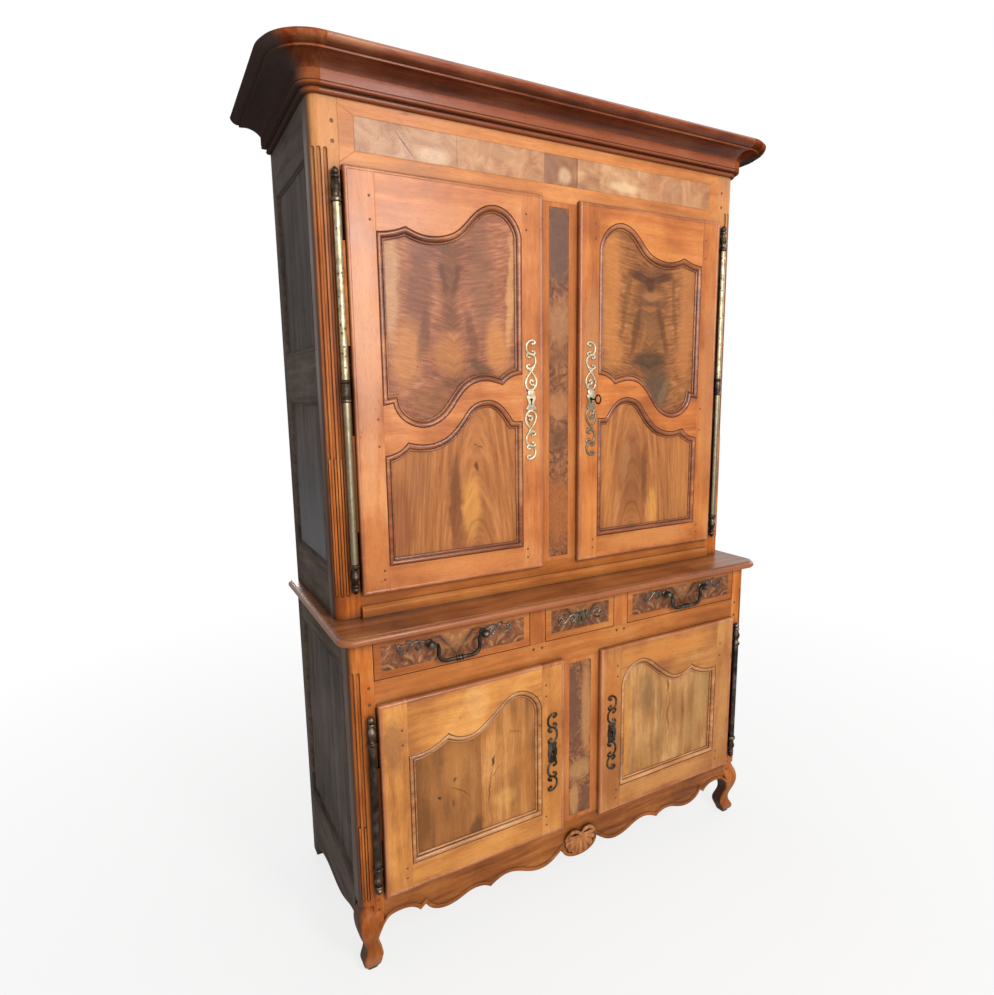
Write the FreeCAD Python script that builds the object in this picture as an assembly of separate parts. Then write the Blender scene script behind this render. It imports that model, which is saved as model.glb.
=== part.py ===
import FreeCAD, Part
import math
import os

# A provincial two-part walnut cupboard: a deep lower body with drawers over two doors, and a
# shallower upper body with two tall doors under a crown moulding. Lengths are in millimetres.
# The front faces -Y, +Z is up, and the origin lies on the floor under the middle of the whole box.

# Whole cupboard
total_height = 2400.0
lower_half_width = 726.0
lower_depth = 595.0
upper_setback = 123.0
upper_side_setback = 4.0

# Top board of the lower body, with a stepped and rounded nose
top_level = 991.0
top_thickness = 23.0
top_front_overhang = 35.0
top_side_overhang = 28.0
top_corner_radius = 45.0
top_step_height = 3.0
top_step_width = 10.0
top_nose_share = 0.475

# Frame timber
frame_thickness = 30.0
lower_post_width = 64.0
upper_post_width = 72.0
upper_post_depth = 55.0
post_corner_radius = 28.0
back_post_width = 50.0
back_post_depth = 45.0
back_board_thickness = 12.0
back_board_count = 6
board_thickness = 20.0
overrun = 2.0
touch = 0.01

# Flutes on the rounded corners of the posts, filled with reeds in their lower part
flute_radius = 5.0
flute_spacing = 16.0
reed_radius = 3.4
reed_root = 0.6
reed_share = 0.327
lower_flute_count = 2
lower_flute_foot = 21.0
lower_flute_head = 86.0
upper_flute_count = 3
upper_flute_foot = 67.0
upper_flute_head = 122.0

# Front legs: level, outward bow along the diagonal, section size and corner rounding
leg_height = 208.0
leg_inner_round_share = 0.12
leg_shares = (
    (1.00, -0.008, 0.985, 0.43),
    (0.84, 0.09, 1.03, 0.40),
    (0.72, 0.22, 1.07, 0.36),
    (0.60, 0.16, 0.88, 0.34),
    (0.49, 0.00, 0.70, 0.32),
    (0.38, -0.19, 0.62, 0.30),
    (0.29, -0.27, 0.67, 0.28),
    (0.20, -0.20, 0.76, 0.25),
    (0.13, -0.05, 0.81, 0.22),
    (0.06, -0.13, 0.66, 0.22),
    (0.00, -0.30, 0.44, 0.24),
)

# Apron: half of its lower edge from the post to the middle, as shares of half its length and of its drop
apron_drop = 136.0
apron_bead_width = 11.0
apron_bead_proud = 3.0
apron_shares = (
    ((1.000, 0.625), (0.974, 0.545), (0.941, 0.515), (0.885, 0.545), (0.841, 0.705)),
    ((0.841, 0.705), (0.816, 0.610)),
    ((0.816, 0.610), (0.775, 0.810), (0.715, 0.880), (0.654, 0.830), (0.600, 0.740), (0.551, 0.735),
     (0.498, 0.850)),
    ((0.498, 0.850), (0.455, 0.745), (0.415, 0.700), (0.363, 0.735), (0.302, 0.860), (0.233, 0.945),
     (0.166, 0.880), (0.121, 0.735), (0.103, 0.669)),
    ((0.103, 0.669), (0.092, 0.830), (0.055, 0.955), (0.000, 1.000)),
)

# Shell carved on the middle of the apron
shell_rib_count = 9
shell_spread_deg = 156.0
shell_drop = 61.0
shell_rib_length = 66.0
shell_rib_radius = 10.5
shell_root_radius = 3.0
shell_hub_radius = 13.0

# Sides of both bodies
side_thickness = 26.0
side_panel_thickness = 12.0
side_panel_recess = 8.0
lower_side_top_rail = 88.0
lower_side_panel_rise = 17.0
side_rail_bevel = 9.0
side_scallop_drop = 205.0
side_scallop_shares = (
    ((0.00, 0.54), (0.10, 0.57), (0.24, 0.70), (0.38, 0.79), (0.52, 0.805), (0.68, 0.81), (0.80, 0.87),
     (0.90, 0.965), (1.00, 1.00)),
)
upper_side_bottom_rail = 129.0
upper_side_middle_rail = 128.0
upper_side_middle_share = 0.494
upper_side_top_rail = 122.0

# Door openings and the fixed stiles between the doors
lower_opening_bottom = 233.0
lower_stile_half = 81.0
upper_foot_height = 72.0
upper_stile_half = 76.0

# Doors: lipped on three sides, with sunk panels and a worked moulding round each panel
door_proud = 16.0
door_rear = 12.0
door_lip = 10.0
door_gap = 3.0
lip_clearance = 0.3
door_edge_round = 6.0
moulding_width = 20.0
quirk_depth = 2.5
panel_recess = 9.0
panel_thickness = 10.0
panel_tongue = 7.0
panel_play = 1.0
upper_hinge_stile = 78.0
upper_meeting_stile = 73.0
upper_top_rail = 47.0
upper_arch_rise = 102.0
upper_foot_rail = 73.0
middle_rail_width = 45.0
middle_valley_share = 0.18
middle_rise = 143.0
middle_arch_share = 0.4737
lower_hinge_stile = 79.0
lower_meeting_stile = 81.0
lower_top_rail = 61.0
lower_arch_rise = 102.0
lower_foot_rail = 77.0
board_joint_share = 0.52

# Shaped edges of the panels from the hinge side: shares of the panel's width and of the edge's rise
straight_shares = (((0.0, 0.0), (1.0, 0.0)),)
upper_arch_shares = (
    ((0.000, 0.000), (0.100, 0.060), (0.186, 0.196)),
    ((0.186, 0.196), (0.250, 0.085), (0.330, 0.020), (0.420, 0.050), (0.530, 0.235), (0.620, 0.600),
     (0.700, 0.880), (0.790, 1.000), (0.880, 0.920), (0.955, 0.660), (1.000, 0.220)),
)
middle_upper_shares = (
    ((0.000, 0.430), (0.066, 0.470)),
    ((0.066, 0.470), (0.120, 0.175), (0.195, 0.040), (0.275, 0.000), (0.355, 0.060), (0.430, 0.205),
     (0.520, 0.540), (0.600, 0.780), (0.700, 0.875), (0.780, 0.850), (0.847, 0.790)),
    ((0.847, 0.790), (0.900, 0.925), (1.000, 1.000)),
)
middle_lower_shares = (
    ((0.000, 0.000), (0.080, 0.055), (0.156, 0.236)),
    ((0.156, 0.236), (0.225, 0.185), (0.300, 0.180), (0.395, 0.255), (0.470, 0.410), (0.545, 0.670),
     (0.610, 0.890), (0.680, 0.985), (0.745, 1.000), (0.810, 0.940), (0.870, 0.785), (0.928, 0.555)),
    ((0.928, 0.555), (1.000, 0.550)),
)
lower_arch_shares = (
    ((0.000, 0.000), (0.150, 0.050), (0.238, 0.216), (0.280, 0.343)),
    ((0.280, 0.343), (0.327, 0.196), (0.386, 0.120), (0.460, 0.127), (0.550, 0.340), (0.633, 0.600),
     (0.713, 0.870), (0.800, 1.000), (0.880, 0.925), (0.955, 0.690), (1.000, 0.235)),
)

# Frieze over the upper doors, its burr veneers and the shaped ears beside it
frieze_height = 164.0
frieze_ear_width = 40.0
frieze_inlay_low_share = 0.293
frieze_inlay_high_share = 0.793
frieze_ear_low_share = 0.104
frieze_ear_high_share = 0.933
frieze_joint_shares = (-1.0, -0.54, -0.093, 0.103, 0.56, 1.0)
veneer_thickness = 2.0
upper_inlay_half = 35.0
upper_inlay_end_gap = 14.0
upper_inlay_split_share = 0.485
lower_inlay_half = 41.0
lower_inlay_end_gap = 14.0

# Strip along the foot of the upper body
strip_height = 31.0
strip_proud = 14.0
strip_bevel = 9.0

# Shelves on cleats
upper_shelf_count = 3
shelf_play = 1.0
shelf_set_back = 45.0
cleat_width = 25.0
cleat_height = 28.0

# Crown moulding: heights of its members from below and how far each stands out
cornice_inner_radius = 4.0
low_bead_height = 13.0
low_bead_out = 6.0
high_bead_height = 8.0
high_bead_out = 22.0
fascia_height = 24.0
fascia_out = 26.0
cove_height = 18.0
cove_out = 78.0
fillet_height = 5.0
fillet_out = 85.0
ovolo_height = 17.0
cornice_out = 108.0
cornice_top_round = 8.0
crown_rail_height = 70.0

# Drawers
drawer_rail_height = 74.0
drawer_opening_height = 114.0
middle_drawer_half = 130.0
divider_width = 53.0
drawer_gap = 2.0
drawer_front_thickness = 22.0
drawer_rear_gap = 41.0
drawer_side_thickness = 12.0
drawer_side_drop = 13.7
drawer_bottom_thickness = 8.0
drawer_bottom_rise = 8.0
drawer_seat_gap = 0.3
drawer_border = 20.0
runner_height = 25.0
runner_reach = 22.0
guide_height = 20.0
guide_play = 1.0

# Drop handles of the side drawers
handle_level_share = 0.658
handle_half_span = 82.0
handle_stand_off = 20.0
boss_radius = 14.0
boss_neck_radius = 8.0
boss_bore_depth = 9.0
handle_arm_length = 92.0
bail_radius = 4.5
bail_pivot_radius = 3.0
bail_drop = 52.0
bail_corner_radius = 22.0
bail_boss_gap = 1.0
bail_knop_radius = 7.0
bail_knop_length = 26.0
running_clearance = 0.05

# Scroll plates and escutcheons, cut from sheet
scroll_strip = 6.0
scroll_opening_deg = 100.0
upper_scroll_length = 350.0
upper_scroll_width = 40.0
upper_scroll_count = 4
lower_scroll_length = 255.0
lower_scroll_width = 36.0
lower_scroll_count = 3
middle_scroll_length = 168.0
middle_scroll_width = 34.0
middle_scroll_count = 2
keyhole_plate_half = 28.0
escutcheon_thickness = 3.0
escutcheon_inset = 44.0
keyhole_radius = 5.0
keyhole_slot_width = 4.5
keyhole_slot_drop = 13.0
upper_lock_share = 0.47
lower_lock_share = 0.49

# Locks behind the doors, the key and the bolt that it throws
lock_width = 55.0
lock_height = 90.0
lock_depth = 16.0
lock_wall = 2.5
key_radius = 3.0
key_bit_length = 8.0
key_bit_thickness = 3.0
key_bit_gap = 1.5
key_reach = 35.0
key_bow_radius = 13.0
key_bow_wire = 2.4
bolt_height = 14.0
bolt_thickness = 6.0
bolt_tail_gap = 6.0
bolt_bit_gap = 4.0
bolt_throw = 12.0
bolt_clearance = 0.3

# Barrel hinges
hinge_tube_radius = 9.5
hinge_pin_radius = 4.0
hinge_edge_gap = 6.0
hinge_end_gap = 0.3
hinge_face_gap = 0.5
finial_radius = 13.5
finial_length = 84.0
knuckle_length = 58.0
hinge_leaf_thickness = 3.0
hinge_leaf_share = 0.6
upper_hinge_inset = 8.0
lower_hinge_inset = 22.0
finial_collar_share = 0.14
finial_shares = (
    ((0.72, 0.00), (0.98, 0.03), (1.00, 0.07), (0.98, 0.11), (0.72, 0.14)),
    ((0.72, 0.14), (0.58, 0.20), (0.80, 0.34), (0.92, 0.44), (0.60, 0.58), (0.48, 0.66)),
    ((0.48, 0.66), (0.74, 0.69), (0.74, 0.74), (0.48, 0.77)),
    ((0.48, 0.77), (0.70, 0.86), (0.42, 0.95), (0.00, 1.00)),
)
knuckle_shares = (
    ((0.72, 0.00), (0.95, 0.08), (0.72, 0.16)),
    ((0.72, 0.16), (0.88, 0.33), (0.88, 0.67), (0.72, 0.84)),
    ((0.72, 0.84), (0.95, 0.92), (0.72, 1.00)),
)

# Pegs of the mortise joints
peg_radius = 4.5
peg_length = 24.0
peg_clearance = 0.05
peg_pitch = 46.0
peg_inset = 15.0

# Planes and levels that the pieces share
V = FreeCAD.Vector
whole_depth = lower_depth + top_front_overhang
upper_half_width = lower_half_width - upper_side_setback
front_y = top_front_overhang - whole_depth / 2
upper_y = front_y + upper_setback
back_y = front_y + lower_depth
board_y = back_y - back_board_thickness
top_underside = top_level - top_thickness
drawer_level = top_underside - drawer_opening_height
lower_opening_top = drawer_level - drawer_rail_height
cornice_height = (low_bead_height + high_bead_height + fascia_height + cove_height + fillet_height
                  + ovolo_height + cornice_top_round)
upper_top_level = total_height - cornice_height
upper_opening_bottom = top_level + upper_foot_height
upper_opening_top = upper_top_level - frieze_height
lower_inner = lower_half_width - lower_post_width
upper_inner = upper_half_width - upper_post_width
frieze_inlay_half = upper_inner - frieze_ear_width
cornice_seat = post_corner_radius - cornice_inner_radius
handle_level = drawer_level + handle_level_share * drawer_opening_height
hinge_offset = finial_radius + hinge_edge_gap
nodes = {}


def block(x0, x1, y0, y1, z0, z1):
    """Block between two opposite corners."""
    return Part.makeBox(x1 - x0, y1 - y0, z1 - z0, V(x0, y0, z0))


def mirrored(shape):
    """The same piece on the other side of the cupboard."""
    return shape.mirror(V(0, 0, 0), V(1, 0, 0))


def pair(shape):
    """A piece of the right side and its twin on the left."""
    return [shape, mirrored(shape)]


def rounded(shape, radius, test):
    """Round the edges whose middle passes a test."""
    return shape.makeFillet(radius, [edge for edge in shape.Edges if test(edge.CenterOfMass)])


def prism(points, along):
    """Solid with a flat polygon outline."""
    return Part.Face(Part.makePolygon(list(points) + [points[0]])).extrude(along)


def joined(shapes):
    """One solid from overlapping or touching shapes."""
    return shapes[0].fuse(shapes[1:]).removeSplitter()


def curve_through(points):
    """Straight edge for two points, one smooth spline for more."""
    if len(points) == 2:
        return Part.makeLine(points[0], points[1])
    spline = Part.BSplineCurve()
    spline.interpolate(points)
    return spline.toShape()


def directions(span):
    """Unit direction along a span at each of its points."""
    edge = curve_through(span)
    return [edge.tangentAt(edge.Curve.parameter(point)) for point in span]


def mitre_step(first, second):
    """Step that moves the corner of two directions inwards by one, to their left seen from the front."""
    normal_a = V(-first.z, 0, first.x)
    normal_b = V(-second.z, 0, second.x)
    return (normal_a + normal_b) / (1 + normal_a.dot(normal_b))


def inset_spans(spans, inset, is_closed=True):
    """Spans of an anticlockwise outline moved inwards, with mitred corners."""
    slopes = [directions(span) for span in spans]
    moved = []
    for i, span in enumerate(spans):
        ahead = slopes[(i + 1) % len(spans)][0]
        behind = slopes[i - 1][-1]
        if not is_closed and i == 0:
            behind = slopes[i][0]
        if not is_closed and i == len(spans) - 1:
            ahead = slopes[i][-1]
        beside = [behind] + slopes[i][1:-1] + [ahead]
        moved.append([p + mitre_step(a, b) * inset for p, a, b in zip(span, slopes[i], beside)])
    return moved


def outline_wire(spans, y):
    """Closed wire of an outline in the plane at y."""
    return Part.Wire([curve_through([V(p.x, y, p.z) for p in span]) for span in spans])


def plate(spans, y0, y1):
    """Flat solid with a shaped outline between two planes."""
    return Part.Face(outline_wire(spans, y0)).extrude(V(0, y1 - y0, 0))


def shaped_edge(shares, left, right, level, rise):
    """Spans of an edge from left to right, from shares of its width and of its rise."""
    width = right - left
    return [[V(left + u * width, 0, level + v * rise) for u, v in span] for span in shares]


def turned_back(spans):
    """The same spans walked the other way."""
    return [list(reversed(span)) for span in reversed(spans)]


def closed_outline(bottom, top):
    """Anticlockwise outline from a lower and an upper edge, both given left to right."""
    upper = turned_back(top)
    return bottom + [[bottom[-1][-1], upper[0][0]]] + upper + [[upper[-1][-1], bottom[0][0]]]


def turned(spans, axis_x, axis_y, start, length, radius):
    """Turned solid on an upright axis, from shares of its radius and length. A minus length hangs down."""
    rows = [[V(r * radius, 0, h * length) for r, h in span] for span in spans]
    edges = [curve_through(row) for row in rows]
    first = rows[0][0]
    last = rows[-1][-1]
    edges.append(Part.makeLine(V(0, 0, first.z), first))
    if last.x > touch:
        edges.append(Part.makeLine(last, V(0, 0, last.z)))
    edges.append(Part.makeLine(V(0, 0, first.z), V(0, 0, last.z)))
    face = Part.Face(Part.Wire(Part.__sortEdges__(edges)))
    solid = face.revolve(V(0, 0, 0), V(0, 0, 1), 360)
    solid.translate(V(axis_x, axis_y, start))
    return solid


def peg_tool(x, y, z, radius):
    """Round peg driven into a front face."""
    return Part.makeCylinder(radius, peg_length, V(x, y, z), V(0, 1, 0))


def flute_places(half_width, plane_y, count):
    """Places of the flutes and the ways inwards, from a right-hand post's corner round to its front."""
    centre_x = half_width - post_corner_radius
    quarter = post_corner_radius * math.pi / 4
    places = []
    for k in range(count):
        run = k * flute_spacing
        angle = math.pi / 4 + min(run, quarter) / post_corner_radius
        x = centre_x + post_corner_radius * math.cos(angle) - max(run - quarter, 0)
        inward = V(-math.cos(angle), math.sin(angle), 0)
        places.append((V(x, plane_y + post_corner_radius * (1 - math.sin(angle)), 0), inward))
    return places


def rod(place, z0, z1, radius):
    """Upright rod with round ends."""
    low = place + V(0, 0, z0)
    high = place + V(0, 0, z1)
    ends = [Part.makeSphere(radius, end) for end in (low, high)]
    return joined([Part.makeCylinder(radius, z1 - z0, low)] + ends)


def fluted(post, half_width, plane_y, count, bottom, top):
    """Post with flutes cut into its corner, and reeds left in their lower part."""
    places = flute_places(half_width, plane_y, count)
    break_level = bottom + reed_share * (top - bottom)
    reed_sink = flute_radius - reed_radius + reed_root
    post = post.cut([rod(place, bottom, top, flute_radius) for place, inward in places])
    reeds = [rod(place + inward * reed_sink, bottom, break_level, reed_radius) for place, inward in places]
    return joined([post] + reeds)


def post_body(half_width, width, depth, plane_y, low, high):
    """Right-hand front post with its outer corner rounded."""
    body = block(half_width - width, half_width, plane_y, plane_y + depth, low, high)
    return rounded(body, post_corner_radius, lambda p: abs(p.x - half_width) < touch and abs(p.y - plane_y) < touch)


def leg_section(level_share, bow_share, size_share, round_share):
    """Rounded square across the right-hand front leg."""
    size = size_share * lower_post_width
    bow = bow_share * lower_post_width / math.sqrt(2)
    z = level_share * leg_height
    right = lower_half_width + bow
    left = right - size
    near = front_y - bow
    far = near + size
    outer = round_share * size
    inner = leg_inner_round_share * size
    corners = ((right, near, outer, 0), (right, far, inner, 1), (left, far, inner, 2), (left, near, inner, 3))
    edges = []
    ends = []
    for x, y, radius, turn in corners:
        middle = V(x + (radius if x == left else -radius), y + (radius if y == near else -radius), z)
        angles = [math.radians(-90 + 90 * turn + 45 * k) for k in range(3)]
        arc = [middle + V(math.cos(a), math.sin(a), 0) * radius for a in angles]
        edges.append(Part.Arc(*arc).toShape())
        ends.append((arc[0], arc[2]))
    for k in range(4):
        edges.append(Part.makeLine(ends[k][1], ends[(k + 1) % 4][0]))
    return Part.Wire(Part.__sortEdges__(edges))


def apron_edge():
    """Lower edge of the apron from the left post to the right one, and the level it hangs from."""
    half = [[V(-u * lower_inner, 0, lower_opening_bottom - v * apron_drop) for u, v in span] for span in apron_shares]
    other = [[V(-p.x, 0, p.z) for p in span] for span in turned_back(half)]
    return half + other


def lower_frame():
    """Posts with their legs, the apron with its shell, the rails and the fixed stile."""
    leg = Part.makeLoft([leg_section(*row) for row in leg_shares], True, False)
    post = post_body(lower_half_width, lower_post_width, lower_post_width, front_y, leg_height, top_underside)
    post = fluted(post, lower_half_width, front_y, lower_flute_count, leg_height + lower_flute_foot,
                  top_underside - lower_flute_head)
    edge = apron_edge()
    knee = block(lower_inner, lower_inner + frame_thickness, front_y, front_y + frame_thickness,
                 edge[0][0].z, leg_height)
    post = joined([post, leg, knee])
    left = edge[0][0].x
    right = edge[-1][-1].x
    top = [[V(left, 0, lower_opening_bottom), V(right, 0, lower_opening_bottom)]]
    board = plate(closed_outline(edge, top), front_y, front_y + frame_thickness)
    bead_top = inset_spans(edge, apron_bead_width, False)
    bead_top[0][0].x = left
    bead_top[-1][-1].x = right
    bead = plate(closed_outline(edge, bead_top), front_y - apron_bead_proud, front_y)
    apron = joined([board, bead])
    peg_x = lower_inner + peg_inset
    pegs = [(x, lower_opening_bottom - peg_inset - k * peg_inset * 2) for x in (peg_x, -peg_x) for k in range(2)]
    pegs += [(x, drawer_level - peg_inset - k * peg_pitch) for x in (peg_x, -peg_x) for k in range(2)]
    divider_x = middle_drawer_half + divider_width / 2
    pegs += [(side * divider_x + offset, drawer_level - peg_inset) for side in (-1, 1)
             for offset in (-peg_inset, peg_inset)]
    holes = [peg_tool(x, front_y, z, peg_radius + peg_clearance) for x, z in pegs]
    nodes["lower_front_posts"] = [piece.cut(holes) for piece in pair(post)]
    nodes["apron"] = [apron]
    rail = block(-lower_inner, lower_inner, front_y, front_y + frame_thickness, lower_opening_top, drawer_level)
    nodes["drawer_rail"] = [rail.cut(holes)]
    stile = block(-lower_stile_half, lower_stile_half, front_y, front_y + frame_thickness,
                  lower_opening_bottom, lower_opening_top)
    inlay = block(-lower_inlay_half, lower_inlay_half, front_y, front_y + veneer_thickness,
                  lower_opening_bottom + lower_inlay_end_gap, lower_opening_top - lower_inlay_end_gap)
    nodes["lower_centre_stile"] = [stile.cut(inlay)]
    divider = block(middle_drawer_half, middle_drawer_half + divider_width, front_y, front_y + frame_thickness,
                    drawer_level, top_underside)
    nodes["drawer_dividers"] = pair(divider)
    return [inlay], [peg_tool(x, front_y, z, peg_radius) for x, z in pegs]


def shell():
    """Fan of ribs under a small hub, carved on the face of the apron."""
    hub = V(0, front_y - apron_bead_proud, lower_opening_bottom - shell_drop)
    solids = [Part.makeSphere(shell_hub_radius, hub)]
    for k in range(shell_rib_count):
        share = k / (shell_rib_count - 1) - 0.5
        angle = math.radians(shell_spread_deg * share)
        along = V(math.sin(angle), 0, -math.cos(angle))
        length = shell_rib_length * math.cos(angle / 2)
        solids.append(Part.makeCone(shell_root_radius, shell_rib_radius, length, hub, along))
        solids.append(Part.makeSphere(shell_rib_radius, hub + along * length))
    reach = shell_rib_length + shell_rib_radius + overrun
    behind = block(-reach, reach, hub.y, hub.y + reach, hub.z - reach, hub.z + reach)
    nodes["shell_carving"] = [joined(solids).cut(behind)]


def lower_case():
    """Sides, floor, runners and top board of the lower body."""
    x1 = lower_half_width
    x0 = x1 - side_thickness
    y0 = front_y + lower_post_width
    y1 = back_y - back_post_depth
    post = block(x1 - back_post_width, x1, y1, back_y, 0, top_underside)
    panel_bottom = lower_opening_bottom + lower_side_panel_rise
    top_rail = block(x0, x1, y0, y1, top_underside - lower_side_top_rail, top_underside)
    scallop = shaped_edge(side_scallop_shares, y0, y1, panel_bottom, -side_scallop_drop)
    upper = [[V(y0, 0, panel_bottom), V(y1, 0, panel_bottom)]]
    bottom_rail = plate(closed_outline(scallop, upper), -x1, -x0)
    bottom_rail.rotate(V(0, 0, 0), V(0, 0, 1), 90)
    bottom_rail = bottom_rail.makeChamfer(side_rail_bevel, [edge for edge in bottom_rail.Edges if (
        abs(edge.CenterOfMass.x - x1) < touch and abs(edge.CenterOfMass.z - panel_bottom) < touch)])
    panel = block(x1 - side_panel_recess - side_panel_thickness, x1 - side_panel_recess, y0, y1,
                  panel_bottom, top_underside - lower_side_top_rail)
    floor = block(-x0, x0, front_y + frame_thickness, board_y, lower_opening_bottom - board_thickness,
                  lower_opening_bottom)
    corners = pair(block(lower_inner, x1, front_y, y0, 0, top_underside)) + pair(post)
    nodes["lower_floor"] = [floor.cut(corners)]
    outer = middle_drawer_half + divider_width + drawer_gap + runner_reach
    low = drawer_level - runner_height
    bearer = block(middle_drawer_half - drawer_gap - runner_reach, outer, front_y + frame_thickness, board_y,
                   low, drawer_level)
    guide = block(middle_drawer_half + guide_play, middle_drawer_half + divider_width - guide_play,
                  front_y + frame_thickness, board_y, drawer_level, drawer_level + guide_height)
    end_bearer = block(lower_inner - runner_reach - drawer_gap, lower_inner, front_y + frame_thickness, board_y,
                       low, drawer_level)
    nodes["drawer_runners"] = pair(joined([bearer, guide])) + pair(end_bearer)
    nodes["lower_top"] = [top_board()]
    return pair(post), pair(top_rail) + pair(bottom_rail), pair(panel)


def slab(half_width, near, z0, z1, corner):
    """Board with rounded front corners, flush with the back."""
    body = block(-half_width, half_width, near, back_y, z0, z1)
    return rounded(body, corner, lambda p: abs(p.y - near) < touch and abs(abs(p.x) - half_width) < touch)


def top_board():
    """Top of the lower body: a rounded nose under a slightly raised surface."""
    near = front_y - top_front_overhang
    half = lower_half_width + top_side_overhang
    step_level = top_level - top_step_height
    nose = slab(half, near, top_underside, step_level, top_corner_radius)
    nose = rounded(nose, top_nose_share * (step_level - top_underside), lambda p: abs(p.y - back_y) > touch and min(
        abs(p.z - top_underside), abs(p.z - step_level)) < touch)
    field = slab(half - top_step_width, near + top_step_width, step_level, top_level,
                 top_corner_radius - top_step_width)
    return joined([nose, field])


def back_boards(half_width, low, high):
    """Upright boards side by side between the back posts."""
    half = half_width - back_post_width
    width = 2 * half / back_board_count
    edges = [-half + k * width for k in range(back_board_count)]
    return [block(x, x + width, board_y, back_y, low, high) for x in edges]


def upper_frame():
    """Posts, frieze, fixed stile and foot rail of the upper body."""
    post = post_body(upper_half_width, upper_post_width, upper_post_depth, upper_y, top_level, upper_top_level)
    post = fluted(post, upper_half_width, upper_y, upper_flute_count, top_level + upper_flute_foot,
                  upper_top_level - upper_flute_head)
    rear = upper_y + frame_thickness
    inlay_low = upper_opening_top + frieze_inlay_low_share * frieze_height
    inlay_high = upper_opening_top + frieze_inlay_high_share * frieze_height
    ear_low = upper_opening_top + frieze_ear_low_share * frieze_height
    ear_high = upper_opening_top + frieze_ear_high_share * frieze_height
    ear = prism([V(upper_inner, upper_y, ear_low), V(upper_inner, upper_y, ear_high),
                 V(frieze_inlay_half, upper_y, inlay_high), V(frieze_inlay_half, upper_y, inlay_low)],
                V(0, frame_thickness, 0))
    frieze = block(-upper_inner, upper_inner, upper_y, rear, upper_opening_top, upper_top_level)
    joints = [share * frieze_inlay_half for share in frieze_joint_shares]
    veneers = [block(a, b, upper_y, upper_y + veneer_thickness, inlay_low, inlay_high)
               for a, b in zip(joints, joints[1:])]
    nodes["frieze_rail"] = [frieze.cut(pair(ear) + veneers)]
    nodes["frieze_ears"] = pair(ear)
    low = upper_opening_bottom + upper_inlay_end_gap
    high = upper_opening_top - upper_inlay_end_gap
    split = low + upper_inlay_split_share * (high - low)
    inlays = [block(-upper_inlay_half, upper_inlay_half, upper_y, upper_y + veneer_thickness, a, b)
              for a, b in ((low, split), (split, high))]
    stile = block(-upper_stile_half, upper_stile_half, upper_y, rear, upper_opening_bottom, upper_opening_top)
    nodes["upper_centre_stile"] = [stile.cut(inlays + [mirrored(bolt_mortise())])]
    nodes["upper_bottom_rail"] = [block(-upper_inner, upper_inner, upper_y, rear, top_level, upper_opening_bottom)]
    strip = block(-upper_inner, upper_inner, upper_y - strip_proud, upper_y, top_level, top_level + strip_height)
    strip_top = top_level + strip_height
    nodes["base_strip"] = [strip.makeChamfer(strip_bevel, [edge for edge in strip.Edges if (
        abs(edge.CenterOfMass.y - upper_y + strip_proud) < touch and abs(edge.CenterOfMass.z - strip_top) < touch)])]
    peg_x = upper_inner + peg_inset
    pegs = [(x, inlay_low + k * peg_pitch + peg_inset) for x in (peg_x, -peg_x) for k in range(2)]
    holes = [peg_tool(x, upper_y, z, peg_radius + peg_clearance) for x, z in pegs]
    nodes["upper_front_posts"] = [piece.cut(holes) for piece in pair(post)]
    return veneers + inlays, [peg_tool(x, upper_y, z, peg_radius) for x, z in pegs]


def upper_case():
    """Sides, floor and ceiling of the upper body."""
    x1 = upper_half_width
    x0 = x1 - side_thickness
    y0 = upper_y + upper_post_depth
    y1 = back_y - back_post_depth
    post = block(x1 - back_post_width, x1, y1, back_y, top_level, upper_top_level)
    bottom = top_level + upper_side_bottom_rail
    top = upper_top_level - upper_side_top_rail
    middle = bottom + upper_side_middle_share * (top - bottom)
    levels = (top_level, bottom, middle - upper_side_middle_rail / 2, middle + upper_side_middle_rail / 2, top,
              upper_top_level)
    rails = [block(x0, x1, y0, y1, levels[k], levels[k + 1]) for k in (0, 2, 4)]
    outer = x1 - side_panel_recess
    panels = [block(outer - side_panel_thickness, outer, y0, y1, levels[k], levels[k + 1]) for k in (1, 3)]
    corners = pair(block(upper_inner, x1, upper_y, y0, top_level, upper_top_level)) + pair(post)
    near = upper_y + frame_thickness
    floor = block(-x0, x0, near, board_y, upper_opening_bottom - board_thickness, upper_opening_bottom)
    ceiling = block(-x0, x0, near, board_y, upper_top_level - board_thickness, upper_top_level)
    nodes["upper_floor"] = [floor.cut(corners)]
    nodes["upper_ceiling"] = [ceiling.cut(corners)]
    both_rails = [piece for rail in rails for piece in pair(rail)]
    both_panels = [piece for panel in panels for piece in pair(panel)]
    return pair(post), both_rails, both_panels


def shelf_set(inner, plane_y, floor_level, ceiling_level, count):
    """Evenly spaced shelves, each on a cleat at either end."""
    pitch = (ceiling_level - floor_level) / (count + 1)
    shelves = []
    cleats = []
    for k in range(count):
        top = floor_level + (k + 1) * pitch
        low = top - board_thickness
        shelves.append(block(shelf_play - inner, inner - shelf_play, plane_y + shelf_set_back, board_y, low, top))
        cleats += pair(block(inner - cleat_width, inner, plane_y + frame_thickness, board_y, low - cleat_height, low))
    return shelves, cleats


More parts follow.
